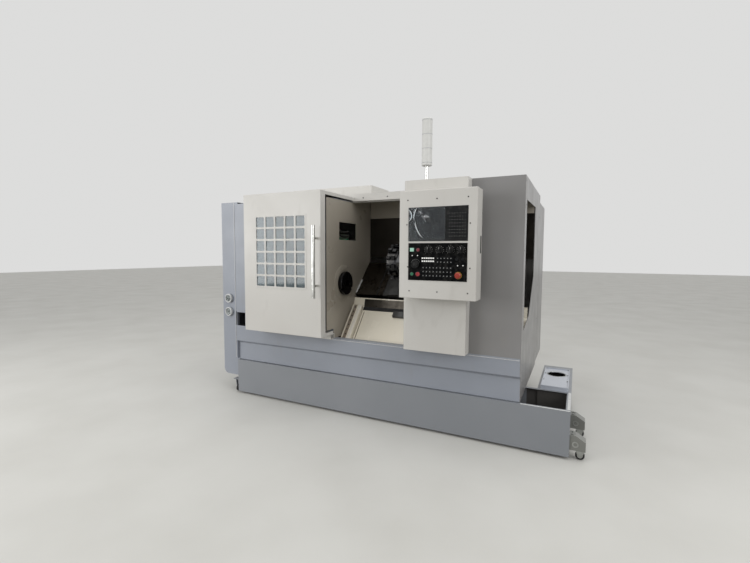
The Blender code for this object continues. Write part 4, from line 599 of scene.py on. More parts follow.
def fitting_tree() -> bpy.types.NodeTree:
    """Builds the Geometry Nodes tree that sets one small turned or square fitting on each point.

    Returns:
        A tree with named inputs for the fitting's sizes, its spin and its finish.
    """
    tree = bpy.data.node_groups.new("small_fittings", "GeometryNodeTree")
    face = tree.interface
    face.new_socket("Geometry", in_out="OUTPUT", socket_type="NodeSocketGeometry")
    face.new_socket("Points", in_out="INPUT", socket_type="NodeSocketGeometry")
    for label, value in (("Radius", 0.003), ("Height", 0.002), ("Inset", 0.55), ("Sink", 0.001),
                         ("Turn", 0.0), ("Random Spin", 0.0), ("Radial", 0.0)):
        face.new_socket(label, in_out="INPUT", socket_type="NodeSocketFloat").default_value = value
    for label, value in (("Sides", 12), ("Seed", 7)):
        face.new_socket(label, in_out="INPUT", socket_type="NodeSocketInt").default_value = value
    for label in ("Stretch", "Centre"):
        face.new_socket(label, in_out="INPUT", socket_type="NodeSocketVector")
    face.new_socket("Finish", in_out="INPUT", socket_type="NodeSocketMaterial")
    given = add(tree, "NodeGroupInput").outputs
    body = add(tree, "GeometryNodeMeshCylinder",
               {"Vertices": given["Sides"], "Radius": given["Radius"], "Depth": given["Height"]})
    lift = add(tree, "ShaderNodeMath", {0: given["Height"], 1: 0.5}, operation="MULTIPLY")
    up = add(tree, "ShaderNodeCombineXYZ", {"Z": lift.outputs[0]})
    first = add(tree, "ShaderNodeCombineXYZ", {"Z": given["Turn"]})
    set_square = add(tree, "FunctionNodeEulerToRotation", {0: first.outputs[0]})
    raised = add(tree, "GeometryNodeTransform",
                 {"Geometry": body.outputs["Mesh"], "Translation": up.outputs[0],
                  "Rotation": set_square.outputs[0]})
    rim = add(tree, "GeometryNodeExtrudeMesh",
              {"Mesh": raised.outputs["Geometry"], "Selection": body.outputs["Top"], "Offset Scale": 0.0})
    inner = add(tree, "GeometryNodeScaleElements",
                {"Geometry": rim.outputs["Mesh"], "Selection": rim.outputs["Top"], "Scale": given["Inset"]})
    depth = add(tree, "ShaderNodeMath", {0: given["Sink"], 1: -1.0}, operation="MULTIPLY")
    sunk = add(tree, "GeometryNodeExtrudeMesh",
               {"Mesh": inner.outputs["Geometry"], "Selection": rim.outputs["Top"],
                "Offset Scale": depth.outputs[0]})
    spot = add(tree, "GeometryNodeInputPosition")
    away = add(tree, "ShaderNodeVectorMath", {0: spot.outputs[0], 1: given["Centre"]}, operation="SUBTRACT")
    split = add(tree, "ShaderNodeSeparateXYZ", {0: away.outputs[0]})
    angle = add(tree, "ShaderNodeMath", {0: split.outputs["Y"], 1: split.outputs["X"]}, operation="ARCTAN2")
    radial = add(tree, "ShaderNodeMath", {0: angle.outputs[0], 1: given["Radial"]}, operation="MULTIPLY")
    spin = add(tree, "FunctionNodeRandomValue", {"Seed": given["Seed"]}, data_type="FLOAT")
    tree.links.new(given["Random Spin"], spin.inputs[3])
    total = add(tree, "ShaderNodeMath", {0: radial.outputs[0], 1: spin.outputs[1]}, operation="ADD")
    euler = add(tree, "ShaderNodeCombineXYZ", {"Z": total.outputs[0]})
    turn = add(tree, "FunctionNodeEulerToRotation", {0: euler.outputs[0]})
    placed = add(tree, "GeometryNodeInstanceOnPoints",
                 {"Points": given["Points"], "Instance": sunk.outputs["Mesh"], "Rotation": turn.outputs[0],
                  "Scale": given["Stretch"]})
    real = add(tree, "GeometryNodeRealizeInstances", {"Geometry": placed.outputs[0]})
    done = add(tree, "GeometryNodeSetMaterial", {"Geometry": real.outputs[0], "Material": given["Finish"]})
    add(tree, "NodeGroupOutput", {"Geometry": done.outputs[0]})
    return tree


@dataclass
class SubAssembly:
    """What every sub-assembly shares: the palette, the fittings tree, the machine's origin and its tools."""

    palette: Palette
    fittings: bpy.types.NodeTree
    shift: Vector

    def at(self, x: float, y: float, z: float) -> Vector:
        """Turns a place in the machine's own sizes into the frame's coordinates."""
        return Vector((x, y, z)) + self.shift

    def rows(self, xs: Iterable[float], ys: Iterable[float], zs: Iterable[float]) -> list[Vector]:
        """Gives the places where rows of distances along the three axes cross."""
        return [self.at(x, y, z) for x in xs for y in ys for z in zs]

    def upright(self, y: float, spots: Iterable[Pair]) -> list[Vector]:
        """Gives places on an upright face at one depth, from their width and height."""
        return [self.at(x, y, z) for x, z in spots]

    def piece(self, name: str, bm: bmesh.types.BMesh, key: str, body: str, smooth: bool = False,
              slot: Optional[str] = None) -> None:
        """Makes an object of a finished bmesh and lets it ride on a body.

        Args:
            name: the piece's name.
            bm: its geometry, which is freed.
            key: its finish.
            body: the body that carries it.
            smooth: whether round faces are shaded smooth.
            slot: the record's material slot, which is not used.
        """
        bmesh.ops.remove_doubles(bm, verts=bm.verts, dist=MERGE_DISTANCE)
        bmesh.ops.recalc_face_normals(bm, faces=bm.faces)
        mesh = bpy.data.meshes.new(name)
        bm.to_mesh(mesh)
        bm.free()
        mesh.materials.append(self.palette.get(key))
        if smooth:
            mesh.shade_smooth()
            mesh.set_sharp_from_angle(angle=math.radians(SHARP_DEGREES))
        self.keep(mesh, body)

    def keep(self, mesh: bpy.types.Mesh, body: str) -> None:
        """Makes an object of a finished mesh, lets it ride on a body and reports it.

        Args:
            mesh: the mesh, whose name the object takes.
            body: the body that carries it.
        """
        obj = bpy.data.objects.new(mesh.name, mesh)
        bpy.context.scene.collection.objects.link(obj)
        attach(obj, body)
        log.info("made %s on %s with %d faces", obj.name, body, len(mesh.polygons))

    def bar(self, name: str, corners: Box, edge: float, key: str, body: str = "machine",
            slot: Optional[str] = None) -> None:
        """Makes a piece of one box.

        Args:
            name: the piece's name.
            corners: its lowest and highest corner.
            edge: the width by which its edges are rounded.
            key: its finish.
            body: the body that carries it.
            slot: the record's material slot, where one fits.
        """
        bm = bmesh.new()
        block(bm, self.at(*corners[0]), self.at(*corners[1]), edge)
        self.piece(name, bm, key, body, slot=slot)

    def strip(self, name: str, outline: Iterable[Sequence[float]], ends: Pair, key: str,
              body: str = "machine", slot: Optional[str] = None, edge: float = 0.0) -> None:
        """Makes a piece of a four-cornered section that runs along the machine's width.

        Args:
            name: the piece's name.
            outline: the depth and height of each corner.
            ends: where it begins and stops along the width.
            key: its finish.
            body: the body that carries it.
            slot: the record's material slot, where one fits.
            edge: the width by which its edges are rounded, where they are.
        """
        bm = bmesh.new()
        prism(bm, [self.at(x, y, z) for x in ends for y, z in outline])
        if edge > 0.0:
            bmesh.ops.bevel(bm, geom=list(bm.edges), offset=edge, segments=3, profile=0.5, affect="EDGES")
        self.piece(name, bm, key, body, edge > 0.0, slot)

    def ring(self, name: str, facing: Facing, centre: Vector, profile: Sequence[Pair], sides: int, key: str,
             body: str = "machine", smooth: bool = True, slot: Optional[str] = None) -> None:
        """Makes a piece of one turned shape.

        Args:
            name: the piece's name.
            facing: the way its axis points.
            centre: the middle of its foot, in the frame's coordinates.
            profile: radius and height of each point.
            sides: the number of steps round it.
            key: its finish.
            body: the body that carries it.
            smooth: whether it is shaded smooth.
            slot: the record's material slot, where one fits.
        """
        bm = bmesh.new()
        lathe(bm, facing, centre, profile, sides)
        self.piece(name, bm, key, body, smooth, slot)

    def scatter(self, name: str, places: Sequence[Vector], facing: Facing, key: str, body: str,
                **sizes: object) -> None:
        """Sets one fitting on each place with Geometry Nodes and makes the result one plain mesh.

        Args:
            name: the piece's name.
            places: where the fittings sit, in the frame's coordinates.
            facing: the way they point.
            key: their finish.
            body: the body that carries them.
            **sizes: the tree's inputs, with spaces written as underscores.
        """
        turn = facing.matrix()
        seeds = bpy.data.meshes.new(name + "_points")
        seeds.from_pydata([turn.inverted() @ Vector(p) for p in places], [], [])
        carrier = bpy.data.objects.new(name + "_points", seeds)
        bpy.context.scene.collection.objects.link(carrier)
        modifier = carrier.modifiers.new("fittings", "NODES")
        modifier.node_group = self.fittings
        values = {"Stretch": EVEN, "Finish": self.palette.get(key)}
        values.update({word.replace("_", " "): value for word, value in sizes.items()})
        for socket in self.fittings.interface.items_tree:
            if socket.item_type == "SOCKET" and socket.in_out == "INPUT" and socket.name in values:
                value = values[socket.name]
                if socket.name == "Centre":
                    value = tuple(turn.inverted() @ Vector(value))
                modifier[socket.identifier] = value
        bpy.context.view_layer.update()
        graph = bpy.context.evaluated_depsgraph_get()
        mesh = bpy.data.meshes.new_from_object(carrier.evaluated_get(graph))
        mesh.transform(turn)
        mesh.name = name
        bpy.data.objects.remove(carrier, do_unlink=True)
        self.keep(mesh, body)

    def screws(self, name: str, places: Sequence[Vector], facing: Facing, key: str, body: str, radius: float,
               height: float, sink: float, sides: int = 20, inset: float = 0.5) -> None:
        """Sets a socket screw on each place by its head and the depth of its socket, at a random turn."""
        self.scatter(name, places, facing, key, body, Radius=radius, Height=height, Sides=sides, Inset=inset,
                     Sink=sink, Random_Spin=ANY_TURN)

    def tiles(self, name: str, places: Sequence[Vector], facing: Facing, key: str, body: str, radius: float,
              height: float, inset: float, sink: float, stretch: Point = EVEN,
              centre: Optional[Vector] = None) -> None:
        """Sets a four-sided tile on each place, turned towards a centre where one is given.

        Args:
            name: the piece's name.
            places: where the tiles sit, in the frame's coordinates.
            facing: the way they point.
            key: their finish.
            body: the body that carries them.
            radius: how far their corners reach before they are stretched.
            height: how far they stand out.
            inset: the width of their top's inner face as a share of the top.
            sink: how far that inner face lies below the top.
            stretch: their scale on each axis.
            centre: the middle of the circle that they lie on, where they do.
        """
        turned = {} if centre is None else {"Radial": 1.0, "Centre": tuple(centre)}
        self.scatter(name, places, facing, key, body, Radius=radius, Height=height, Sides=4, Turn=CORNER_ON,
                     Inset=inset, Sink=sink, Stretch=stretch, **turned)

    def ticks(self, name: str, centre: Vector, radius: float, count: int, sweep: Pair, key: str, body: str,
              size: float, height: float, stretch: Pair) -> None:
        """Sets the short marks of a dial on an arc that faces the front, from a first angle on."""
        places = around(centre, Facing.FRONT, radius, count, *sweep)
        self.tiles(name, places, Facing.FRONT, key, body, size, height, 0.8, 0.0001, (*stretch, 1.0), centre)


def block(bm: bmesh.types.BMesh, low: Sequence[float], high: Sequence[float], edge: float = 0.0) -> None:
    """Adds a box.

    Args:
        bm: the mesh it goes into.
        low: its lowest corner.
        high: its highest corner.
        edge: the width by which its edges are rounded, where they are.
    """
    low, high = Vector(low), Vector(high)
    size = Matrix.Diagonal((high - low).to_4d())
    size[3][3] = 1.0
    made = bmesh.ops.create_cube(bm, size=1.0, matrix=Matrix.Translation((low + high) / 2.0) @ size)
    if edge > 0.0:
        edges = list({e for v in made["verts"] for e in v.link_edges})
        bmesh.ops.bevel(bm, geom=edges, offset=edge, segments=2, profile=0.6, affect="EDGES")


def prism(bm: bmesh.types.BMesh, corners: list[Vector]) -> None:
    """Adds the six-faced body between two four-cornered ends.

    Args:
        bm: the mesh it goes into.
        corners: four corners round one end, then the same four round the other.
    """
    verts = [bm.verts.new(corner) for corner in corners]
    for face in ((0, 1, 2, 3), (7, 6, 5, 4), (0, 4, 5, 1), (1, 5, 6, 2), (2, 6, 7, 3), (3, 7, 4, 0)):
        bm.faces.new([verts[i] for i in face])


def lathe(bm: bmesh.types.BMesh, facing: Facing, centre: Vector, profile: Sequence[Pair], sides: int) -> None:
    """Adds a turned shape.

    Args:
        bm: the mesh it goes into.
        facing: the way its axis points.
        centre: the middle of its foot.
        profile: radius and height of each point. A profile that never reaches the axis is closed on itself.
        sides: the number of steps round it.
    """
    turn = Matrix.Translation(centre) @ facing.matrix()
    closed = all(radius > 0.0 for radius, _ in profile)
    rows = []
    for i in range(sides):
        angle = 2.0 * math.pi * i / sides
        rows.append([bm.verts.new(turn @ Vector((r * math.cos(angle), r * math.sin(angle), h)))
                     for r, h in profile])
    count = len(profile) if closed else len(profile) - 1
    for i, row in enumerate(rows):
        after = rows[(i + 1) % sides]
        for j in range(count):
            k = (j + 1) % len(profile)
            bm.faces.new((row[j], after[j], after[k], row[k]))


def pipe(bm: bmesh.types.BMesh, route: Sequence[Vector], radius: float, sides: int) -> None:
    """Adds a round pipe with closed ends.

    Args:
        bm: the mesh it goes into.
        route: the points that its axis follows.
        radius: its radius.
        sides: the number of steps round it.
    """
    rings = []
    for i, spot in enumerate(route):
        ahead = (route[min(i + 1, len(route) - 1)] - route[max(i - 1, 0)]).normalized()
        side = ahead.orthogonal().normalized() if i == 0 else (side - ahead * side.dot(ahead)).normalized()
        other = ahead.cross(side)
        rings.append([bm.verts.new(spot + (side * math.cos(a) + other * math.sin(a)) * radius)
                      for a in (2.0 * math.pi * k / sides for k in range(sides))])
    for one, two in zip(rings, rings[1:]):
        for k in range(sides):
            bm.faces.new((one[k], one[(k + 1) % sides], two[(k + 1) % sides], two[k]))
    bm.faces.new(rings[0])
    bm.faces.new(list(reversed(rings[-1])))


def section(place: Callable[[float, float], Sequence[float]], run: Pair, lift: Pair) -> list[Sequence[float]]:
    """Gives a strip's four corners from its run along a surface and its lower and upper lift off it."""
    (start, stop), (under, over) = run, lift
    return [place(start, under), place(stop, under), place(stop, over), place(start, over)]


def around(centre: Vector, facing: Facing, radius: float, count: int, start: float,
           sweep: float) -> list[Vector]:
    """Gives places on an arc round a centre, in the plane across a facing.

    Args:
        centre: the arc's centre.
        facing: the direction out of its plane.
        radius: the arc's radius.
        count: the number of places, with one at each end of an open arc.
        start: the first place's angle in degrees, from the plane's right-hand side.
        sweep: the arc's whole angle in degrees, where 360 closes it.

    Returns:
        The places in the frame's coordinates.
    """
    turn = facing.matrix()
    steps = count if abs(sweep) >= 360.0 else max(count - 1, 1)
    spots = []
    for i in range(count):
        angle = math.radians(start + sweep * i / steps)
        spots.append(centre + turn @ Vector((radius * math.cos(angle), radius * math.sin(angle), 0.0)))
    return spots


@dataclass
class Workshop(SubAssembly):
    """The pale floor, the soft lamps and the camera at the photograph's angle."""

    eye: Point = (1.583, -2.846, 1.329)
    yaw: float = 0.4587
    pitch: float = 0.0698
    roll: float = 0.005
    focal_px: float = 410.0
    width_px: float = 750.0
    sensor: float = 36.0
    sight: float = 200.0
    floor_size: float = 60.0
    lamps: tuple[tuple[str, Point, Point, Pair, float], ...] = (
        ("ceiling_lamp", (0.5, -1.6, 6.0), (0.0, -0.2, 0.8), (7.0, 5.0), 118.0),
        ("left_lamp", (-4.2, -5.6, 2.0), (-0.1, 0.0, 0.8), (3.6, 2.8), 145.0),
        ("right_lamp", (5.2, -2.4, 3.0), (0.6, 0.0, 1.0), (2.6, 2.6), 72.0))
    air: str = "F1F1F0"
    air_light: float = 0.66
    air_shown: float = 0.82

    def camera(self) -> None:
        """Sets the camera where the machine's straight edges say that the photograph was taken."""
        data = bpy.data.cameras.new("photo_camera")
        data.sensor_width = self.sensor
        data.lens = self.focal_px / self.width_px * self.sensor
        data.clip_end = self.sight
        camera = bpy.data.objects.new("photo_camera", data)
        ahead = Vector((-math.sin(self.yaw) * math.cos(self.pitch), math.cos(self.yaw) * math.cos(self.pitch),
                        -math.sin(self.pitch)))
        right = Vector((math.cos(self.yaw), math.sin(self.yaw), 0.0))
        up = right.cross(ahead)
        rolled_right = right * math.cos(self.roll) + up * math.sin(self.roll)
        rolled_up = up * math.cos(self.roll) - right * math.sin(self.roll)
        turn = Matrix((rolled_right, rolled_up, -ahead)).transposed().to_4x4()
        camera.matrix_world = Matrix.Translation(self.at(*self.eye)) @ turn
        bpy.context.scene.collection.objects.link(camera)
        bpy.context.scene.camera = camera

    def light(self) -> None:
        """Hangs the soft lamps, each turned to what it lights."""
        for name, place, aim, size, watts in self.lamps:
            data = bpy.data.lights.new(name, "AREA")
            data.shape = "RECTANGLE"
            data.size, data.size_y = size
            data.energy = watts
            obj = bpy.data.objects.new(name, data)
            obj.location = place
            obj.rotation_euler = (Vector(aim) - Vector(place)).to_track_quat("-Z", "Y").to_euler()
            bpy.context.scene.collection.objects.link(obj)

    def surround(self) -> None:
        """Sets the pale air, which shows brighter in the picture, in gloss and in glass than it lights."""
        world = bpy.data.worlds.new("workshop_air")
        world.use_nodes = True
        tree = world.node_tree
        path = add(tree, "ShaderNodeLightPath").outputs
        seen = add(tree, "ShaderNodeMath", {0: path["Is Camera Ray"], 1: path["Is Glossy Ray"]},
                   operation="MAXIMUM")
        through = add(tree, "ShaderNodeMath", {0: seen.outputs[0], 1: path["Is Transmission Ray"]},
                      operation="MAXIMUM")
        level = add(tree, "ShaderNodeMapRange", {"Value": through.outputs[0], "To Min": self.air_light,
                                                 "To Max": self.air_shown})
        back = tree.nodes["Background"]
        back.inputs["Color"].default_value = linear(self.air)
        tree.links.new(level.outputs["Result"], back.inputs["Strength"])
        bpy.context.scene.world = world
        bpy.context.scene.view_settings.view_transform = "Standard"

    def floor(self) -> None:
        """Lays the concrete floor."""
        bm = bmesh.new()
        bmesh.ops.create_grid(bm, x_segments=1, y_segments=1, size=self.floor_size / 2.0)
        mesh = bpy.data.meshes.new("workshop_floor")
        bm.to_mesh(mesh)
        bm.free()
        mesh.materials.append(self.palette.get("concrete"))
        obj = bpy.data.objects.new("workshop_floor", mesh)
        bpy.context.scene.collection.objects.link(obj)

    def build(self) -> None:
        """Sets up the camera, the light and the floor."""
        self.camera()
        self.light()
        self.surround()
        self.floor()


NODE_FINISHES = {
    "cream": ("roof_panel", "header", "front_column", "door_bottom_rail", "console_box", "door_panel",
              "window_grille"),
    # The inner wall is cream paint, drawn in the darker copy as painted shade.
    "cream_in_painted_shade": ("left_inner_wall",),
    "slope": ("chip_chute",),
    "grey": ("right_front_panel", "right_side_panel", "cabinet_shell", "cabinet_door"),
    "pale_grey": ("left_front_panel", "left_end_cover", "lower_front_panel"),
    "tank": ("coolant_tank",),
    "lid": ("pump_plate",),
    "zinc": ("cabinet_backplate", "castor_fork_1", "castor_fork_2"),
    "cover": ("way_cover_outer", "way_cover_middle"),
    "guard": ("rear_guard",),
    "tube": ("door_handle", "signal_pole"),
    "bright_edge": ("gauge_upper", "gauge_lower"),
    "iron": ("bed_casting", "headstock", "saddle", "cross_slide", "tailstock_body"),
    "housing": ("turret_housing", "spindle_motor"),
    "disc": ("turret_disc",),
    "steel": ("spindle_shaft", "motor_pulley", "tailstock_quill"),
    "black_oxide": ("face_plate",),
    "rubber": ("drive_belt", "castor_wheel_1", "castor_wheel_2", "castor_wheel_3", "castor_wheel_4"),
    "window": ("window_glass",),
    "black": ("display_unit", "knob_1", "knob_2", "knob_3", "knob_4", "handwheel"),
    "membrane": ("operator_panel",),
    "white": ("signal_lamp",),
    "orange_red": ("estop_button",),
    "red": ("stop_button", "main_switch"),
    "dark_red": ("power_off_button",),
    "green": ("start_button",),
    "pale_green": ("power_on_button",),
}


@dataclass
class ConsoleFittings(SubAssembly):
    """The console's screws, screen, film, keys, rings and the scales round its knobs."""

    front: float = -0.250
    panel_front: float = -0.253
    face_screws: tuple[Pair, ...] = (
        (0.545, 1.682), (0.748, 1.684), (0.953, 1.685), (0.540, 1.519), (0.968, 1.519), (0.548, 1.235),
        (0.971, 1.234), (0.560, 1.073), (0.757, 1.073), (0.960, 1.073))
    screen: Area = (0.566, 1.424, 0.806, 1.618)
    divider: Area = (0.812, 1.414, 0.814, 1.626)
    soft_keys: Area = (0.826, 1.428, 0.946, 1.596)
    soft_key_height: float = 0.0014
    dark_keys: tuple[tuple[Area, int, int], ...] = (
        ((0.748, 1.258, 0.860, 1.308), 5, 2), ((0.648, 1.166, 0.860, 1.246), 9, 3))
    dark_key_height: float = 0.0016
    white_key_columns: tuple[float, ...] = tuple(0.6545 + 0.0150 * i for i in range(6))
    white_key_rows: Pair = (1.2955, 1.2755)
    dots: tuple[Pair, ...] = ((0.5820, 1.312), (0.6195, 1.3125), (0.893, 1.249), (0.928, 1.250))
    round_keys: tuple[Pair, ...] = ((0.8855, 1.291), (0.9250, 1.291))
    knobs: tuple[Pair, ...] = ((0.694, 1.350), (0.772, 1.350), (0.844, 1.350), (0.914, 1.350))
    knob_front: float = -0.2733
    knob_scale: float = 0.027
    handwheel: Pair = (0.605, 1.255)
    handwheel_scale: float = 0.0325
    rings: tuple[tuple[str, float, float, float], ...] = (
        ("start_ring", 0.5815, 1.188, 0.0118), ("stop_ring", 0.6235, 1.188, 0.0148),
        ("power_off_ring", 0.6235, 1.350, 0.0118))
    estop: Pair = (0.898, 1.186)
    # A black plate in the pull slot on the console's right side: painted shade inside the slot.
    pull_slot_shade: Box = ((1.0090, -0.1510, 1.329), (1.0128, -0.1250, 1.443))
    # The film's folds: centre, radius, width, rise, and the angles where each begins and stops.
    film_area: Area = (0.5515, 1.4085, 0.806, 1.6310)
    folds: tuple[tuple[float, ...], ...] = (
        (0.5300, 1.5780, 0.045, 0.0040, 0.0042, -75.0, 75.0),
        (0.7050, 1.5600, 0.114, 0.0045, 0.0046, 110.0, 190.0),
        (0.7600, 1.5500, 0.160, 0.0035, 0.0036, -175.0, -128.0))
    # Its white creases: the fold that each lies on, its two angles and its width.
    creases: tuple[tuple[int, float, float, float], ...] = (
        (0, -58.0, 60.0, 0.0056), (1, 144.0, 188.0, 0.0048), (2, -176.0, -131.0, 0.0040))
    # Its blisters: centre, half width, half height and rise.
    blisters: tuple[tuple[float, ...], ...] = (
        (0.705, 1.562, 0.050, 0.036, 0.0100), (0.648, 1.598, 0.022, 0.020, 0.0050))
    film_cells: tuple[int, int] = (92, 76)
    film_gap: float = 0.0006
    film_thickness: float = 0.0002
    fold_fade: float = 12.0
    blister_skew: float = 0.45

    def grid(self, area: Area, columns: int, rows: int) -> list[Vector]:
        """Lays out a grid of keys that fills an area on the panel's front.

        Args:
            area: its left, bottom, right and top.
            columns: the number of keys across.
            rows: the number of keys up.

        Returns:
            The keys' centres, column by column.
        """
        left, bottom, right, top = area
        width, height = (right - left) / columns, (top - bottom) / rows
        return self.rows([left + (i + 0.5) * width for i in range(columns)], [self.panel_front],
                         [bottom + (j + 0.5) * height for j in range(rows)])

    def display(self) -> None:
        """Builds the screen's glass under its clear film, and the dark soft keys beside it."""
        left, bottom, right, top = self.screen
        self.bar("screen_glass", ((left + 0.001, self.panel_front + 0.0012, bottom + 0.001),
                                  (right - 0.001, self.panel_front + 0.0019, top - 0.001)),
                 0.0, "screen", "console", "black_plastic")
        keys = self.grid(self.soft_keys, 7, 8)
        self.tiles("soft_keys", keys, Facing.FRONT, "key", "console",
                   radius=0.0098, height=self.soft_key_height, inset=0.82, sink=0.0003)
        legends = [p + Vector((0.0, -self.soft_key_height, 0.0)) for p in keys]
        self.tiles("soft_key_legends", legends, Facing.FRONT, "ink", "console",
                   radius=0.0019, height=0.00025, inset=0.6, sink=0.0001, stretch=(1.5, 0.7, 1.0))
        left, bottom, right, top = self.divider
        self.bar("display_divider", ((left, self.panel_front - 0.0006, bottom),
                                     (right, self.panel_front + 0.0004, top)),
                 0.0002, "key", "console", "black_plastic")

    def film_height(self, x: float, z: float) -> float:
        """Adds up the film's folds and blisters at a place on the console's front.

        Args:
            x: the place along the width.
            z: its height.

        Returns:
            How far the film stands off the screen there.
        """
        height = self.film_gap
        for cx, cz, radius, width, rise, low, high in self.folds:
            away = math.hypot(x - cx, z - cz) - radius
            turn = math.degrees(math.atan2(z - cz, x - cx))
            fade_in = min(1.0, max(0.0, (turn - low) / self.fold_fade))
            fade_out = min(1.0, max(0.0, (high - turn) / self.fold_fade))
            height += rise * (fade_in * fade_out) * math.exp(-(away / width) ** 2)
        for cx, cz, half_x, half_z, rise in self.blisters:
            u, v = (x - cx) / half_x, (z - cz) / half_z
            height += rise * max(0.0, 1.0 - abs(u + self.blister_skew * v)) * max(0.0, 1.0 - v * v)
        return height

    def film(self) -> None:
        """Lays the loose protective film with its folds over the left part of the display."""
        left, bottom, right, top = self.film_area
        columns, rows = self.film_cells
        bm = bmesh.new()
        layers = []
        for lift in (0.0, self.film_thickness):
            layers.append([[bm.verts.new(self.at(x, self.panel_front - lift - self.film_height(x, z), z))
                            for x in (left + (right - left) * i / columns for i in range(columns + 1))]
                           for z in (bottom + (top - bottom) * j / rows for j in range(rows + 1))])
        for grid in layers:
            for j in range(rows):
                for i in range(columns):
                    bm.faces.new((grid[j][i], grid[j][i + 1], grid[j + 1][i + 1], grid[j + 1][i]))
        far, near = layers
        rim = [(0, i) for i in range(columns)] + [(j, columns) for j in range(rows)]
        rim += [(rows, i) for i in range(columns, 0, -1)] + [(j, 0) for j in range(rows, 0, -1)]
        for (j, i), (k, m) in zip(rim, rim[1:] + rim[:1]):
            bm.faces.new((near[j][i], near[k][m], far[k][m], far[j][i]))
        self.piece("screen_protector_film", bm, "film", "console", smooth=True)

    def stress_marks(self) -> None:
        """Lays the white stress marks that the loose film has along its folds."""
        steps, skin = 28, 0.0003
        for index, (fold, low, high, width) in enumerate(self.creases, start=1):
            cx, cz, radius = self.folds[fold][:3]
            rows = []
            bm = bmesh.new()
            for step in range(steps + 1):
                share = step / steps
                turn = math.radians(low + (high - low) * share)
                half = 0.5 * width * (0.15 + 0.85 * math.sin(math.pi * share))
                row = []
                for reach, lift in ((radius - half, 0.0), (radius + half, 0.0),
                                    (radius + half, skin), (radius - half, skin)):
                    x, z = cx + reach * math.cos(turn), cz + reach * math.sin(turn)
                    depth = self.panel_front - self.film_height(x, z) - skin - lift
                    row.append(bm.verts.new(self.at(x, depth, z)))
                rows.append(row)
            for near, far in zip(rows, rows[1:]):
                for i in range(4):
                    bm.faces.new((near[i], near[(i + 1) % 4], far[(i + 1) % 4], far[i]))
            bm.faces.new(rows[0][::-1])
            bm.faces.new(rows[-1])
            # The crease finish glows: a painted highlight on the white marks.
            self.piece(f"film_crease_{index}", bm, "crease", "console", smooth=True)

    def keys(self) -> None:
        """Builds the lower panel's caps: twelve white ones, two dark grids, four lamps and two round ones."""
        white = self.rows(self.white_key_columns, [self.panel_front], self.white_key_rows)
        self.tiles("white_keys", white, Facing.FRONT, "white_key", "console",
                   radius=0.0078, height=0.0022, inset=0.8, sink=0.0004, stretch=(1.0, 0.80, 1.0))
        dark = [place for field in self.dark_keys for place in self.grid(*field)]
        self.tiles("dark_keys", dark, Facing.FRONT, "key", "console",
                   radius=0.0118, height=self.dark_key_height, inset=0.84, sink=0.0003)
        marks = [p + Vector((0.0, -self.dark_key_height, 0.0)) for p in dark]
        self.scatter("key_legends", marks, Facing.FRONT, "ink", "console", Radius=0.0026, Height=0.00025,
                     Sides=5, Inset=0.6, Sink=0.0001, Random_Spin=ANY_TURN, Seed=3, Stretch=(1.3, 0.8, 1.0))
        self.scatter("signal_dots", self.upright(self.panel_front, self.dots), Facing.FRONT, "white_key",
                     "console", Radius=0.0036, Height=0.0020, Sides=16, Inset=0.7, Sink=-0.0006)
        self.scatter("round_keys", self.upright(self.panel_front, self.round_keys), Facing.FRONT, "key",
                     "console", Radius=0.0105, Height=0.0040, Sides=24, Inset=0.84, Sink=0.0006)

    def scales(self) -> None:
        """Draws the white ticks round the knobs and the handwheel, and the pointers on the knobs."""
        for index, (x, z) in enumerate(self.knobs, start=1):
            self.ticks(f"knob_{index}_scale", self.at(x, self.panel_front, z), self.knob_scale, 11,
                       (-45.0, 270.0), "ink", "console", size=0.0017, height=0.0003, stretch=(1.5, 0.5))
            self.bar(f"knob_{index}_pointer", ((x - 0.0009, self.knob_front - 0.0003, z + 0.004),
                                               (x + 0.0009, self.knob_front + 0.0004, z + 0.0178)),
                     0.0001, "ink", f"knob_{index}")
        wheel = self.at(self.handwheel[0], self.panel_front, self.handwheel[1])
        self.ticks("handwheel_scale", wheel, self.handwheel_scale, 25, (20.0, 140.0), "ink", "console",
                   size=0.0014, height=0.0003, stretch=(1.4, 0.4))

    def collars(self) -> None:
        """Turns the dark rings round the push buttons and the yellow one under the emergency stop."""
        for name, x, z, radius in self.rings:
            self.ring(name, Facing.FRONT, self.at(x, self.panel_front, z),
                      [(radius, 0.0002), (radius + 0.0028, 0.0002), (radius + 0.0026, 0.0022),
                       (radius + 0.0006, 0.0028), (radius, 0.0022)], 40, "socket_screw", "console")
        self.ring("estop_ring", Facing.FRONT, self.at(self.estop[0], self.panel_front, self.estop[1]),
                  [(0.0130, 0.0002), (0.0235, 0.0002), (0.0230, 0.0030), (0.0205, 0.0038), (0.0130, 0.0034)],
                  48, "yellow", "console")

    def build(self) -> None:
        """Builds all the console's fittings, with its face screws and the black plate of painted shade in the
        pull slot in its right side.
        """
        self.screws("console_screws", self.upright(self.front, self.face_screws), Facing.FRONT,
                    "socket_screw", "console", radius=0.0042, height=0.0016, sink=0.0012, sides=24)
        self.display()
        self.film()
        self.stress_marks()
        # Painted shade: the black plate darkens the inside of the pull slot.
        self.bar("console_pull_slot_shade", self.pull_slot_shade, 0.0008, "membrane", "console", "black_plastic")
        self.keys()
        self.scales()
        self.collars()


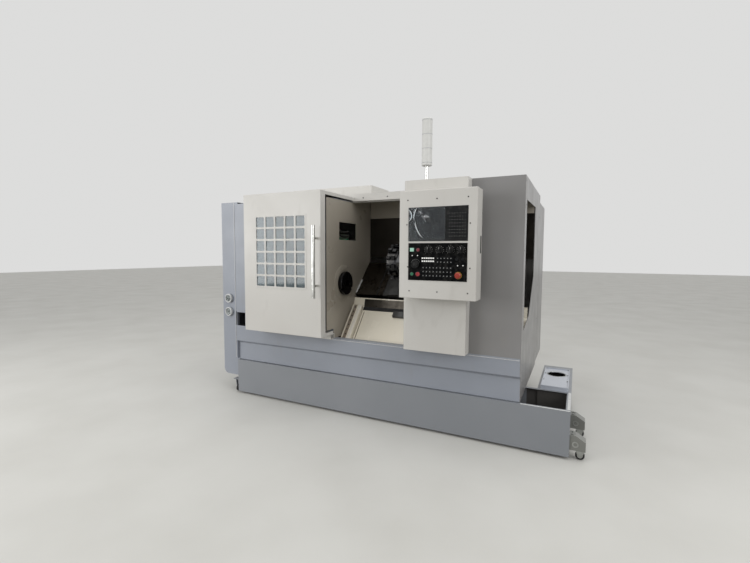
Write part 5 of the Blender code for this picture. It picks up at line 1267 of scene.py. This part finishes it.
@dataclass
class GaugeFaces(SubAssembly):
    """The dial, needle, scale and glass of each pressure gauge."""

    x: float = -1.380
    heights: Pair = (0.892, 0.765)
    face: float = 0.0107
    radius: float = 0.0305
    card: float = 0.0008
    needle_angles: Pair = (135.0, 60.0)

    def build(self) -> None:
        """Builds both dials on the front of the end cover."""
        r = self.radius
        for index, (z, angle) in enumerate(zip(self.heights, self.needle_angles), start=1):
            centre = self.at(self.x, self.face, z)
            self.ring(f"gauge_{index}_dial", Facing.FRONT, centre,
                      [(0.0, 0.0001), (r, 0.0001), (r, self.card), (0.0, self.card)], 40, "dial",
                      smooth=False)
            on_card = centre + Vector((0.0, -self.card, 0.0))
            self.ticks(f"gauge_{index}_ticks", on_card, r * 0.84, 31, (-45.0, 270.0), "black", "machine",
                       size=0.0016, height=0.0002, stretch=(1.6, 0.30))
            bm = bmesh.new()
            block(bm, (-0.0007, 0.0, -0.006), (0.0007, 0.0004, r * 0.80))
            place = Matrix.Translation(on_card + Vector((0.0, -0.0012, 0.0)))
            turn = Matrix.Rotation(math.radians(angle), 4, "Y")
            bmesh.ops.transform(bm, matrix=place @ turn, verts=bm.verts)
            lathe(bm, Facing.FRONT, on_card, [(0.0, 0.0), (0.0030, 0.0), (0.0030, 0.0018), (0.0, 0.0020)], 16)
            self.piece(f"gauge_{index}_needle", bm, "black", "machine")
            self.ring(f"gauge_{index}_glass", Facing.FRONT, centre,
                      [(0.0, 0.0034), (r, 0.0034), (r, 0.0040), (0.0, 0.0046)], 40, "cover_glass")


@dataclass
class TurretFittings(SubAssembly):
    """Tool clamps, inserts, bolts and sockets on the turret's disc."""

    left: float = 0.170
    centre_y: float = SPINDLE_Y + 0.26 * HALF_ROOT
    centre_z: float = SPINDLE_Z + 0.26 * HALF_ROOT
    disc_radius: float = 0.122
    bolt_circle: float = 0.104
    socket_circle: float = 0.077
    wedge_circle: float = 0.060
    stations: int = 12
    # Clamp and wedge of a station: lowest and highest corner, from the disc's left face and rim, and edge.
    blocks: tuple[tuple[Point, Point, float], ...] = (
        ((0.042, -0.0160, -0.005), (0.076, 0.0160, 0.018), 0.0015),
        ((0.006, -0.0155, -0.006), (0.038, -0.0112, 0.022), 0.0008))
    insert_place: Point = (0.012, 0.0122, 0.0255)
    insert_radii: Pair = (0.008, 0.0074)
    insert_height: float = 0.004

    def build(self) -> None:
        """Builds everything that turns with the disc."""
        centre = self.at(self.left, self.centre_y, self.centre_z)
        step = 360.0 / self.stations
        self.screws("disc_bolts", around(centre, Facing.LEFT, self.bolt_circle, 24, 6.0, 360.0), Facing.LEFT,
                    "socket_screw", "turret", radius=0.0050, height=0.0040, sink=0.0038, inset=0.52)
        sockets = around(centre, Facing.LEFT, self.socket_circle, self.stations, step / 2.0, 360.0)
        self.scatter("drill_sockets", sockets, Facing.LEFT, "black_oxide", "turret", Radius=0.0145,
                     Height=0.0060, Sides=32, Inset=0.62, Sink=0.0050)
        self.tiles("face_wedges", around(centre, Facing.LEFT, self.wedge_circle, 8, 11.0, 360.0), Facing.LEFT,
                   "zinc", "turret", radius=0.0135, height=0.0050, inset=0.70, sink=0.0010,
                   stretch=(1.0, 0.72, 1.0), centre=centre)
        for index in range(self.stations):
            self.holder(index, math.radians((index + 0.5) * step))
        self.ring("disc_hub_cap", Facing.LEFT, centre + Vector((0.008, 0.0, 0.0)),
                  [(0.0, 0.013), (0.016, 0.012), (0.022, 0.008), (0.048, 0.006), (0.0485, 0.0002),
                   (0.0, 0.0002)], 48, "black_oxide", "turret")

    def holder(self, index: int, angle: float) -> None:
        """Builds the clamp, the wedge and the cutting insert of one station.

        Args:
            index: the station's number, from zero.
            angle: its turn round the disc's axis.
        """
        middle = self.at(0.0, self.centre_y, self.centre_z)
        place = Matrix.Translation(middle) @ Matrix.Rotation(angle, 4, "X")
        left, rim = self.left, self.disc_radius
        bm = bmesh.new()
        for (near, y_low, z_low), (far, y_high, z_high), edge in self.blocks:
            block(bm, (left + near, y_low, rim + z_low), (left + far, y_high, rim + z_high), edge)
        bmesh.ops.transform(bm, matrix=place, verts=bm.verts)
        self.piece(f"tool_clamp_{index + 1}", bm, "black_oxide", "turret")
        bm = bmesh.new()
        wide, narrow = self.insert_radii
        bmesh.ops.create_cone(bm, cap_ends=True, segments=3 + index % 2, radius1=wide, radius2=narrow,
                              depth=self.insert_height)
        x, y, z = self.insert_place
        seat = Matrix.Translation((left + x, y, rim + z))
        tip = seat @ Matrix.Rotation(math.pi / 2.0, 4, "X")
        bmesh.ops.transform(bm, matrix=place @ tip, verts=bm.verts)
        self.piece(f"cutting_insert_{index + 1}", bm, "disc", "turret")


@dataclass
class WorkSpaceFittings(SubAssembly):
    """What the open door shows: seal ring, chute strips, wipers, and the pipes behind the service window."""

    wall_face: float = -0.20015
    chute_top: Pair = (0.340, 0.852)
    chute_foot: Pair = (0.100, 0.569)
    lip_top: Pair = (0.358, 0.930)
    off_sheet: float = 0.0003
    # Strips down the chute: name, reach down the slope, height, ends, finish and slot.
    guards: tuple[tuple, ...] = (
        ("chute_riveted_strip", (0.004, 0.360), 0.036, (-0.1765, -0.1405), "weathered_and_shadow", "stainless_sheet"),
        # The bright strip's lighter cream is partly its own paint and partly a painted highlight.
        ("chute_bright_strip", (0.004, 0.360), 0.044, (-0.1315, -0.1055), "cream_edge", "stainless_sheet"))
    # Seams, with the same columns as the strips; the two weathered ones are painted shadow lines beside the
    # ridge.
    seams: tuple[tuple, ...] = (
        # A dark strip along the top of the slope, under the lip.
        ("chute_top_dark_strip", (0.0, 0.034), 0.0040, (-0.095, 0.420), "rubber", "black_rubber"),
        ("chute_painted_shadow_line", (0.050, 0.360), 0.0030, (-0.0955, -0.0905), "weathered_and_shadow", "stainless_sheet"),
        ("chute_ridge", (0.044, 0.360), 0.0085, (-0.0900, -0.0790), "slope", "cream_paint"),
        ("chute_right_painted_shadow_line", (0.050, 0.360), 0.0022, (-0.0785, -0.0735), "weathered_and_shadow", "stainless_sheet"),
        ("chute_stop_block", (0.036, 0.088), 0.0220, (0.206, 0.317), "iron", None))
    # Pipes: height, depth of the far end and finish.
    pipes: tuple[tuple[float, float, str], ...] = (
        (1.520, 0.300, "zinc"), (1.480, 0.320, "rubber"), (1.450, 0.300, "green"))
    pipe_start: Pair = (-0.238, 0.060)
    pipe_sway: Pair = (0.020, 0.012)
    pipe_waves: Pair = (3.1, 6.0)
    pipe_radius: float = 0.007
    pipe_steps: int = 24
    # Wipers: name, ends, height off the slant, reach along it and body.
    wipers: tuple[tuple, ...] = (
        ("outer_cover_wiper", (0.0082, 0.0150), -0.2186, (0.066, 0.453), "machine"),
        ("middle_cover_wiper", (0.0662, 0.0676), -0.2224, (0.0685, 0.4505), "middle_cover"))

    def slope(self, reach: float, lift: float) -> Sequence[float]:
        """Follows the chute's slope.

        Args:
            reach: a distance down the slope from its top.
            lift: a distance off it.

        Returns:
            The place's depth and height.
        """
        top = Vector((0.0, *self.chute_top))
        down = (Vector((0.0, *self.chute_foot)) - top).normalized()
        return (top + down * reach + Vector((0.0, down.z, -down.y)) * lift).yz

    def upstand(self, reach: float, lift: float) -> Sequence[float]:
        """Follows the chute's upright lip.

        Args:
            reach: a distance up the lip from its foot.
            lift: a distance off it.

        Returns:
            The place's depth and height.
        """
        top = Vector((0.0, *self.chute_top))
        up = (Vector((0.0, *self.lip_top)) - top).normalized()
        return (top + up * reach + Vector((0.0, -up.z, up.y)) * lift).yz

    def covers(self, reach: float, lift: float) -> Pair:
        """Gives the depth and height of a place along the way covers' slant and off it, from the spindle."""
        return SPINDLE_Y + (reach - lift) * HALF_ROOT, SPINDLE_Z + (reach + lift) * HALF_ROOT

    def seal_ring(self) -> None:
        """Turns the flat ring round the spindle and its bolts."""
        centre = self.at(self.wall_face, SPINDLE_Y, SPINDLE_Z)
        # The ring is cream paint, drawn in the darker copy as painted shade.
        self.ring("spindle_seal_ring", Facing.RIGHT, centre,
                  [(0.1110, 0.0), (0.1550, 0.0), (0.1545, 0.0024), (0.1525, 0.0032), (0.1116, 0.0032)], 64,
                  "cream_in_painted_shade", slot="cream_paint")
        bolts = around(centre + Vector((0.0032, 0.0, 0.0)), Facing.RIGHT, 0.143, 8, 22.5, 360.0)
        self.screws("seal_ring_screws", bolts, Facing.RIGHT, "zinc", "machine", radius=0.0045,
                    height=0.0024, sink=0.0016, sides=18, inset=0.55)

    def chute(self) -> None:
        """Lays the guard strips and their screws, the lip's band, the dark top strip, the painted shadow
        lines, the ridge and the stop block.
        """
        for name, reach, height, ends, key, slot in self.guards:
            self.strip(name, section(self.slope, reach, (self.off_sheet, height)), ends, key, slot=slot,
                       edge=0.004)
        _, _, height, (left, right), _, _ = self.guards[0]
        places = [self.at((left + right) / 2.0, *self.slope(0.030 + 0.045 * i, height)) for i in range(8)]
        self.screws("chute_guard_screws", places, Facing.SLANT, "socket_screw", "machine",
                    radius=0.0052, height=0.0030, sink=0.0020, sides=18)
        self.strip("chute_lip_band", section(self.upstand, (0.0, 0.070), (self.off_sheet, 0.0016)),
                   (-0.095, 0.420), "stainless", slot="stainless_sheet")
        for name, reach, height, ends, key, slot in self.seams:
            self.strip(name, section(self.slope, reach, (self.off_sheet, height)), ends, key, slot=slot)

    def service_window(self) -> None:
        """Runs three lubrication pipes behind the service window, with a cover sheet behind them."""
        (x, near), (side, rise), (side_wave, rise_wave) = self.pipe_start, self.pipe_sway, self.pipe_waves
        shares = [i / self.pipe_steps for i in range(self.pipe_steps + 1)]
        for index, (z, far, key) in enumerate(self.pipes, start=1):
            route = [self.at(x - side * math.sin(t * side_wave), near + (far - near) * t,
                             z + rise * math.sin(t * rise_wave)) for t in shares]
            bm = bmesh.new()
            pipe(bm, route, self.pipe_radius, 12)
            self.piece(f"lubrication_pipe_{index}", bm, key, "machine", smooth=True)
        self.bar("headstock_screen_sheet", ((-0.300, 0.070, 1.420), (-0.297, 0.420, 1.492)), 0.0010,
                 "window_sheet", slot="cream_paint")

    def trim(self) -> None:
        """Adds the covers' edge strip, the rear beam's cover, the header's screws and the wipers."""
        self.strip("cover_edge_strip", section(self.covers, (0.082, 0.235), (-0.2198, -0.2165)),
                   (-0.1985, -0.1880), "bright_edge")
        # The beam's cover is cream paint, drawn in the darker copy as painted shade.
        self.bar("rear_beam_cover", ((-0.196, 0.6545, 1.650), (1.2590, 0.6598, 1.832)), 0.001, "cream_in_painted_shade",
                 slot="cream_paint")
        self.screws("header_screws", self.rows((-0.10, 0.13, 0.36), (0.3245,), (1.803,)), Facing.FRONT,
                    "socket_screw", "machine", radius=0.0050, height=0.0026, sink=0.0018)
        for name, ends, height, reach, body in self.wipers:
            self.strip(name, section(self.covers, reach, (height - 0.0012, height)), ends, "rubber", body,
                       "black_rubber")

    def build(self) -> None:
        """Builds all the fittings inside the work space."""
        self.seal_ring()
        self.chute()
        self.service_window()
        self.trim()


@dataclass
class TankFittings(SubAssembly):
    """Screws and frame of the pump plate, bolts and rings of the castor brackets, and hubs of the wheels."""

    lid_top: float = 0.3458
    lid_screws: tuple[Pair, tuple[float, ...]] = ((1.377, 1.543), (0.414, 0.585, 0.765, 0.923))
    lid_frame: tuple[tuple[Pair, Pair], ...] = (
        ((1.366, 0.402), (1.554, 0.407)), ((1.366, 0.929), (1.554, 0.934)),
        ((1.366, 0.408), (1.371, 0.928)), ((1.549, 0.408), (1.554, 0.928)))
    pump_hole: Pair = (1.460, 0.765)
    bracket_hole: Pair = (1.610, 0.108)
    bracket_top: float = 0.165
    bolt_x: float = 1.594
    wheel_height: float = 0.0286
    wheel_side: float = 0.0110
    # Wheels, right and left: place along the width, depths and the ways their sides face.
    wheels: tuple[tuple[float, Pair, tuple[Facing, Facing]], ...] = (
        (1.639, (0.050, 0.420), (Facing.FRONT, Facing.BACK)),
        (-1.302, (0.050, 0.290), (Facing.RIGHT, Facing.LEFT)))

    def build(self) -> None:
        """Builds the tank's fittings."""
        self.screws("pump_lid_screws", self.rows(*self.lid_screws, (self.lid_top,)), Facing.UP, "zinc",
                    "tank", radius=0.0055, height=0.0028, sink=0.0020)
        bm = bmesh.new()
        for low, high in self.lid_frame:
            block(bm, self.at(*low, self.lid_top + 0.0001), self.at(*high, self.lid_top + 0.0050), 0.0006)
        self.piece("pump_lid_frame", bm, "lid", "tank")
        right_wheels = self.wheels[0][1]
        bm = bmesh.new()
        lathe(bm, Facing.UP, self.at(*self.pump_hole, self.lid_top),
              [(0.0665, 0.0001), (0.0740, 0.0001), (0.0735, 0.0014), (0.0670, 0.0018)], 56)
        for y in right_wheels:
            lathe(bm, Facing.FRONT, self.at(self.bracket_hole[0], y - 0.0402, self.bracket_hole[1]),
                  [(0.0110, 0.0), (0.0200, 0.0), (0.0195, 0.0016), (0.0115, 0.0016)], 36)
        self.piece("pump_hole_and_bracket_rings", bm, "zinc", "tank", smooth=True)
        bolts = self.rows((self.bolt_x,), [y + dy for y in right_wheels for dy in (-0.022, 0.022)],
                          (self.bracket_top,))
        self.scatter("castor_bolts", bolts, Facing.UP, "zinc", "tank", Radius=0.0080, Height=0.0055, Sides=6,
                     Inset=0.7, Sink=-0.0010, Random_Spin=1.0)
        hubs = [(x, y, sides) for x, depths, sides in self.wheels for y in depths]
        for index, (x, y, sides) in enumerate(hubs, start=1):
            bm = bmesh.new()
            for facing in sides:
                middle = Vector((x, y, self.wheel_height)) + Vector(facing.value) * self.wheel_side
                lathe(bm, facing, self.at(*middle),
                      [(0.0060, 0.00005), (0.0170, 0.00005), (0.0165, 0.00040), (0.0060, 0.00045)], 28)
            self.piece(f"wheel_{index}_hub", bm, "zinc", f"castor_wheel_{index}", smooth=True)


@dataclass
class CabinetFittings(SubAssembly):
    """Louvres, latches, hinges and the switch's plate on the door of the electrical cabinet at the back."""

    left: float = 0.300
    right: float = 1.2647
    door_back: float = 1.6443
    louvre_columns: Pair = (0.640, 0.860)
    louvre_rows: tuple[float, ...] = tuple(0.470 + 0.028 * i for i in range(9))
    latches: Point = (0.650, 1.060, 1.600)
    hinges: Point = (0.520, 1.060, 1.600)
    switch: Pair = (0.430, 1.450)

    def build(self) -> None:
        """Builds two fields of pressed louvres and the door's hardware."""
        body, back = "cabinet_door", self.door_back
        self.tiles("cabinet_louvres", self.rows(self.louvre_columns, (back,), self.louvre_rows), Facing.BACK,
                   "grey", body, radius=0.0180, height=0.0080, inset=0.72, sink=-0.0004,
                   stretch=(7.2, 0.62, 1.0))
        self.scatter("cabinet_latches", self.rows((self.left + 0.035,), (back,), self.latches), Facing.BACK,
                     "black", body, Radius=0.0150, Height=0.0070, Sides=32, Inset=0.55, Sink=0.0040)
        bm = bmesh.new()
        for z in self.hinges:
            pin = self.rows((self.right - 0.0075,), (back + 0.0046,), (z - 0.035, z + 0.035))
            pipe(bm, pin, 0.0045, 16)
            block(bm, self.at(self.right - 0.040, back + 0.0001, z - 0.030),
                  self.at(self.right - 0.009, back + 0.0022, z + 0.030), 0.0006)
        self.piece("cabinet_hinge_leaves", bm, "zinc", body, smooth=True)
        self.ring("switch_plate", Facing.BACK, self.at(self.switch[0], back, self.switch[1]),
                  [(0.0335, 0.0001), (0.0480, 0.0001), (0.0470, 0.0024), (0.0335, 0.0024)], 48, "yellow",
                  body)


@dataclass
class CoverSeams(SubAssembly):
    """Screws, edge strips and seams of the covers, the roof's hood, the back and the signal lamp; some strips
    are painted highlights and one plate is painted shade.
    """

    left: float = -1.465
    back: float = 1.1000
    lamp: Pair = (0.535, 0.150)
    lamp_bottom: float = 1.9853
    lamp_top: float = 2.335
    lamp_radius: float = 0.039
    # Strips: name, lowest and highest corner, edge, finish, body and slot.
    strips: tuple[tuple, ...] = (
        # A bright strip on the end cover's seam: a painted highlight along that edge.
        ("end_cover_seam_painted_highlight", ((-1.3085, 0.0268, 0.330), (-1.3040, 0.0302, 1.786)), 0.0005, "bright_edge",
         "machine", None),
        # A black plate beside the port: painted shade that carries on the port's dark opening.
        ("port_painted_shade_plate", ((-1.3036, 0.0285, 0.645), (-1.2655, 0.0301, 0.770)), 0.0003, "black", "machine",
         "black_plastic"),
        # Bright strips on the sill's top edge: painted highlights along that edge.
        ("sill_edge_painted_highlight", ((0.918, -0.0552, 0.6251), (1.2628, -0.0440, 0.6263)), 0.0003, "bright_edge",
         "machine", None),
        ("sill_door_painted_highlight", ((-0.188, -0.0552, 0.6251), (0.453, -0.0440, 0.6263)), 0.0003, "bright_edge",
         "machine", None),
        ("corner_filler", ((-1.2652, 0.0006, 0.3300), (-1.2643, 0.0299, 1.7680)), 0.0003, "pale_grey",
         "machine", None),
        # Bright strips along the tank's rim: painted highlights along its edges.
        ("tank_front_rim_painted_highlight", ((1.270, 0.0002, 0.3206), (1.5745, 0.0120, 0.3218)), 0.0003, "bright_edge",
         "tank", None),
        ("tank_side_rim_painted_highlight", ((1.5560, 0.0300, 0.3206), (1.5745, 0.3950, 0.3218)), 0.0003, "bright_edge",
         "tank", None))
    # Access covers in the back wall: name, left, right, bottom and top.
    access: tuple[tuple[str, float, float, float, float], ...] = (
        ("headstock_access_cover", -1.130, -0.620, 0.520, 1.120),
        ("coolant_access_cover", -0.420, 0.120, 0.470, 0.830))

    def rear(self) -> None:
        """Adds two bolted access covers and the edge screws on the plain back wall."""
        places = self.rows((-1.235, 0.270), (self.back,), (0.46, 0.80, 1.14, 1.48, 1.80))
        for name, left, right, low, high in self.access:
            self.bar(name, ((left, self.back + 0.0002, low), (right, self.back + 0.0026, high)), 0.0010,
                     "cream", slot="cream_paint")
            places += self.rows((left + 0.020, (left + right) / 2.0, right - 0.020), (self.back + 0.0024,),
                                (low + 0.020, high - 0.020))
        self.screws("rear_wall_screws", places, Facing.BACK, "zinc", "machine",
                    radius=0.0052, height=0.0026, sink=0.0018)

    def build(self) -> None:
        """Builds the small trim that shows on the outside, with its painted highlight strips and painted
        shade plate.
        """
        hood = self.rows((-1.06, -0.85, -0.645, -0.44, -0.23), (0.6600,), (1.862,))
        self.screws("hood_front_screws", hood, Facing.FRONT, "zinc", "machine",
                    radius=0.0052, height=0.0026, sink=0.0018)
        side = self.rows((HALF_WIDTH,), (0.03, 1.07), (0.45, 0.75, 1.05, 1.35, 1.65, 1.81))
        self.screws("side_panel_screws", side, Facing.RIGHT, "zinc", "machine",
                    radius=0.0048, height=0.0022, sink=0.0016)
        end = self.rows((self.left,), (0.06, 1.07), (0.30, 0.70, 1.10, 1.50, 1.76))
        self.screws("end_cover_screws", end, Facing.LEFT, "zinc", "machine",
                    radius=0.0048, height=0.0022, sink=0.0016)
        for name, corners, edge, key, body, slot in self.strips:
            self.bar(name, corners, edge, key, body, slot)
        self.rear()
        bm = bmesh.new()
        inner, outer = self.lamp_radius - 0.001, self.lamp_radius + 0.0008
        for share in (0.06, 0.36, 0.66, 0.96):
            height = self.lamp_bottom + (self.lamp_top - self.lamp_bottom) * share
            lathe(bm, Facing.UP, self.at(*self.lamp, height),
                  [(inner, -0.0012), (outer, -0.0012), (outer, 0.0012), (inner, 0.0012)], 48)
        self.piece("signal_lamp_seams", bm, "dial", "machine", smooth=True)


def main() -> None:
    """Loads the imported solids, dresses them, and builds every sub-assembly in order."""
    logging.basicConfig(level=logging.INFO, format="%(message)s")
    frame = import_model()
    palette = Palette()
    for key, nodes in NODE_FINISHES.items():
        palette.dress(frame, nodes, key)
        log.info("dressed %d solids in %s", len(nodes), key)
    low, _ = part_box("lower_front_panel")
    tools = (palette, fitting_tree(), Vector((low[0] + HALF_WIDTH, low[1], 0.0)))
    for kind in (Workshop, ConsoleFittings, GaugeFaces, TurretFittings, WorkSpaceFittings, TankFittings,
                 CabinetFittings, CoverSeams):
        kind(*tools).build()
        log.info("finished %s", kind.__name__)


if __name__ == "__main__":
    main()
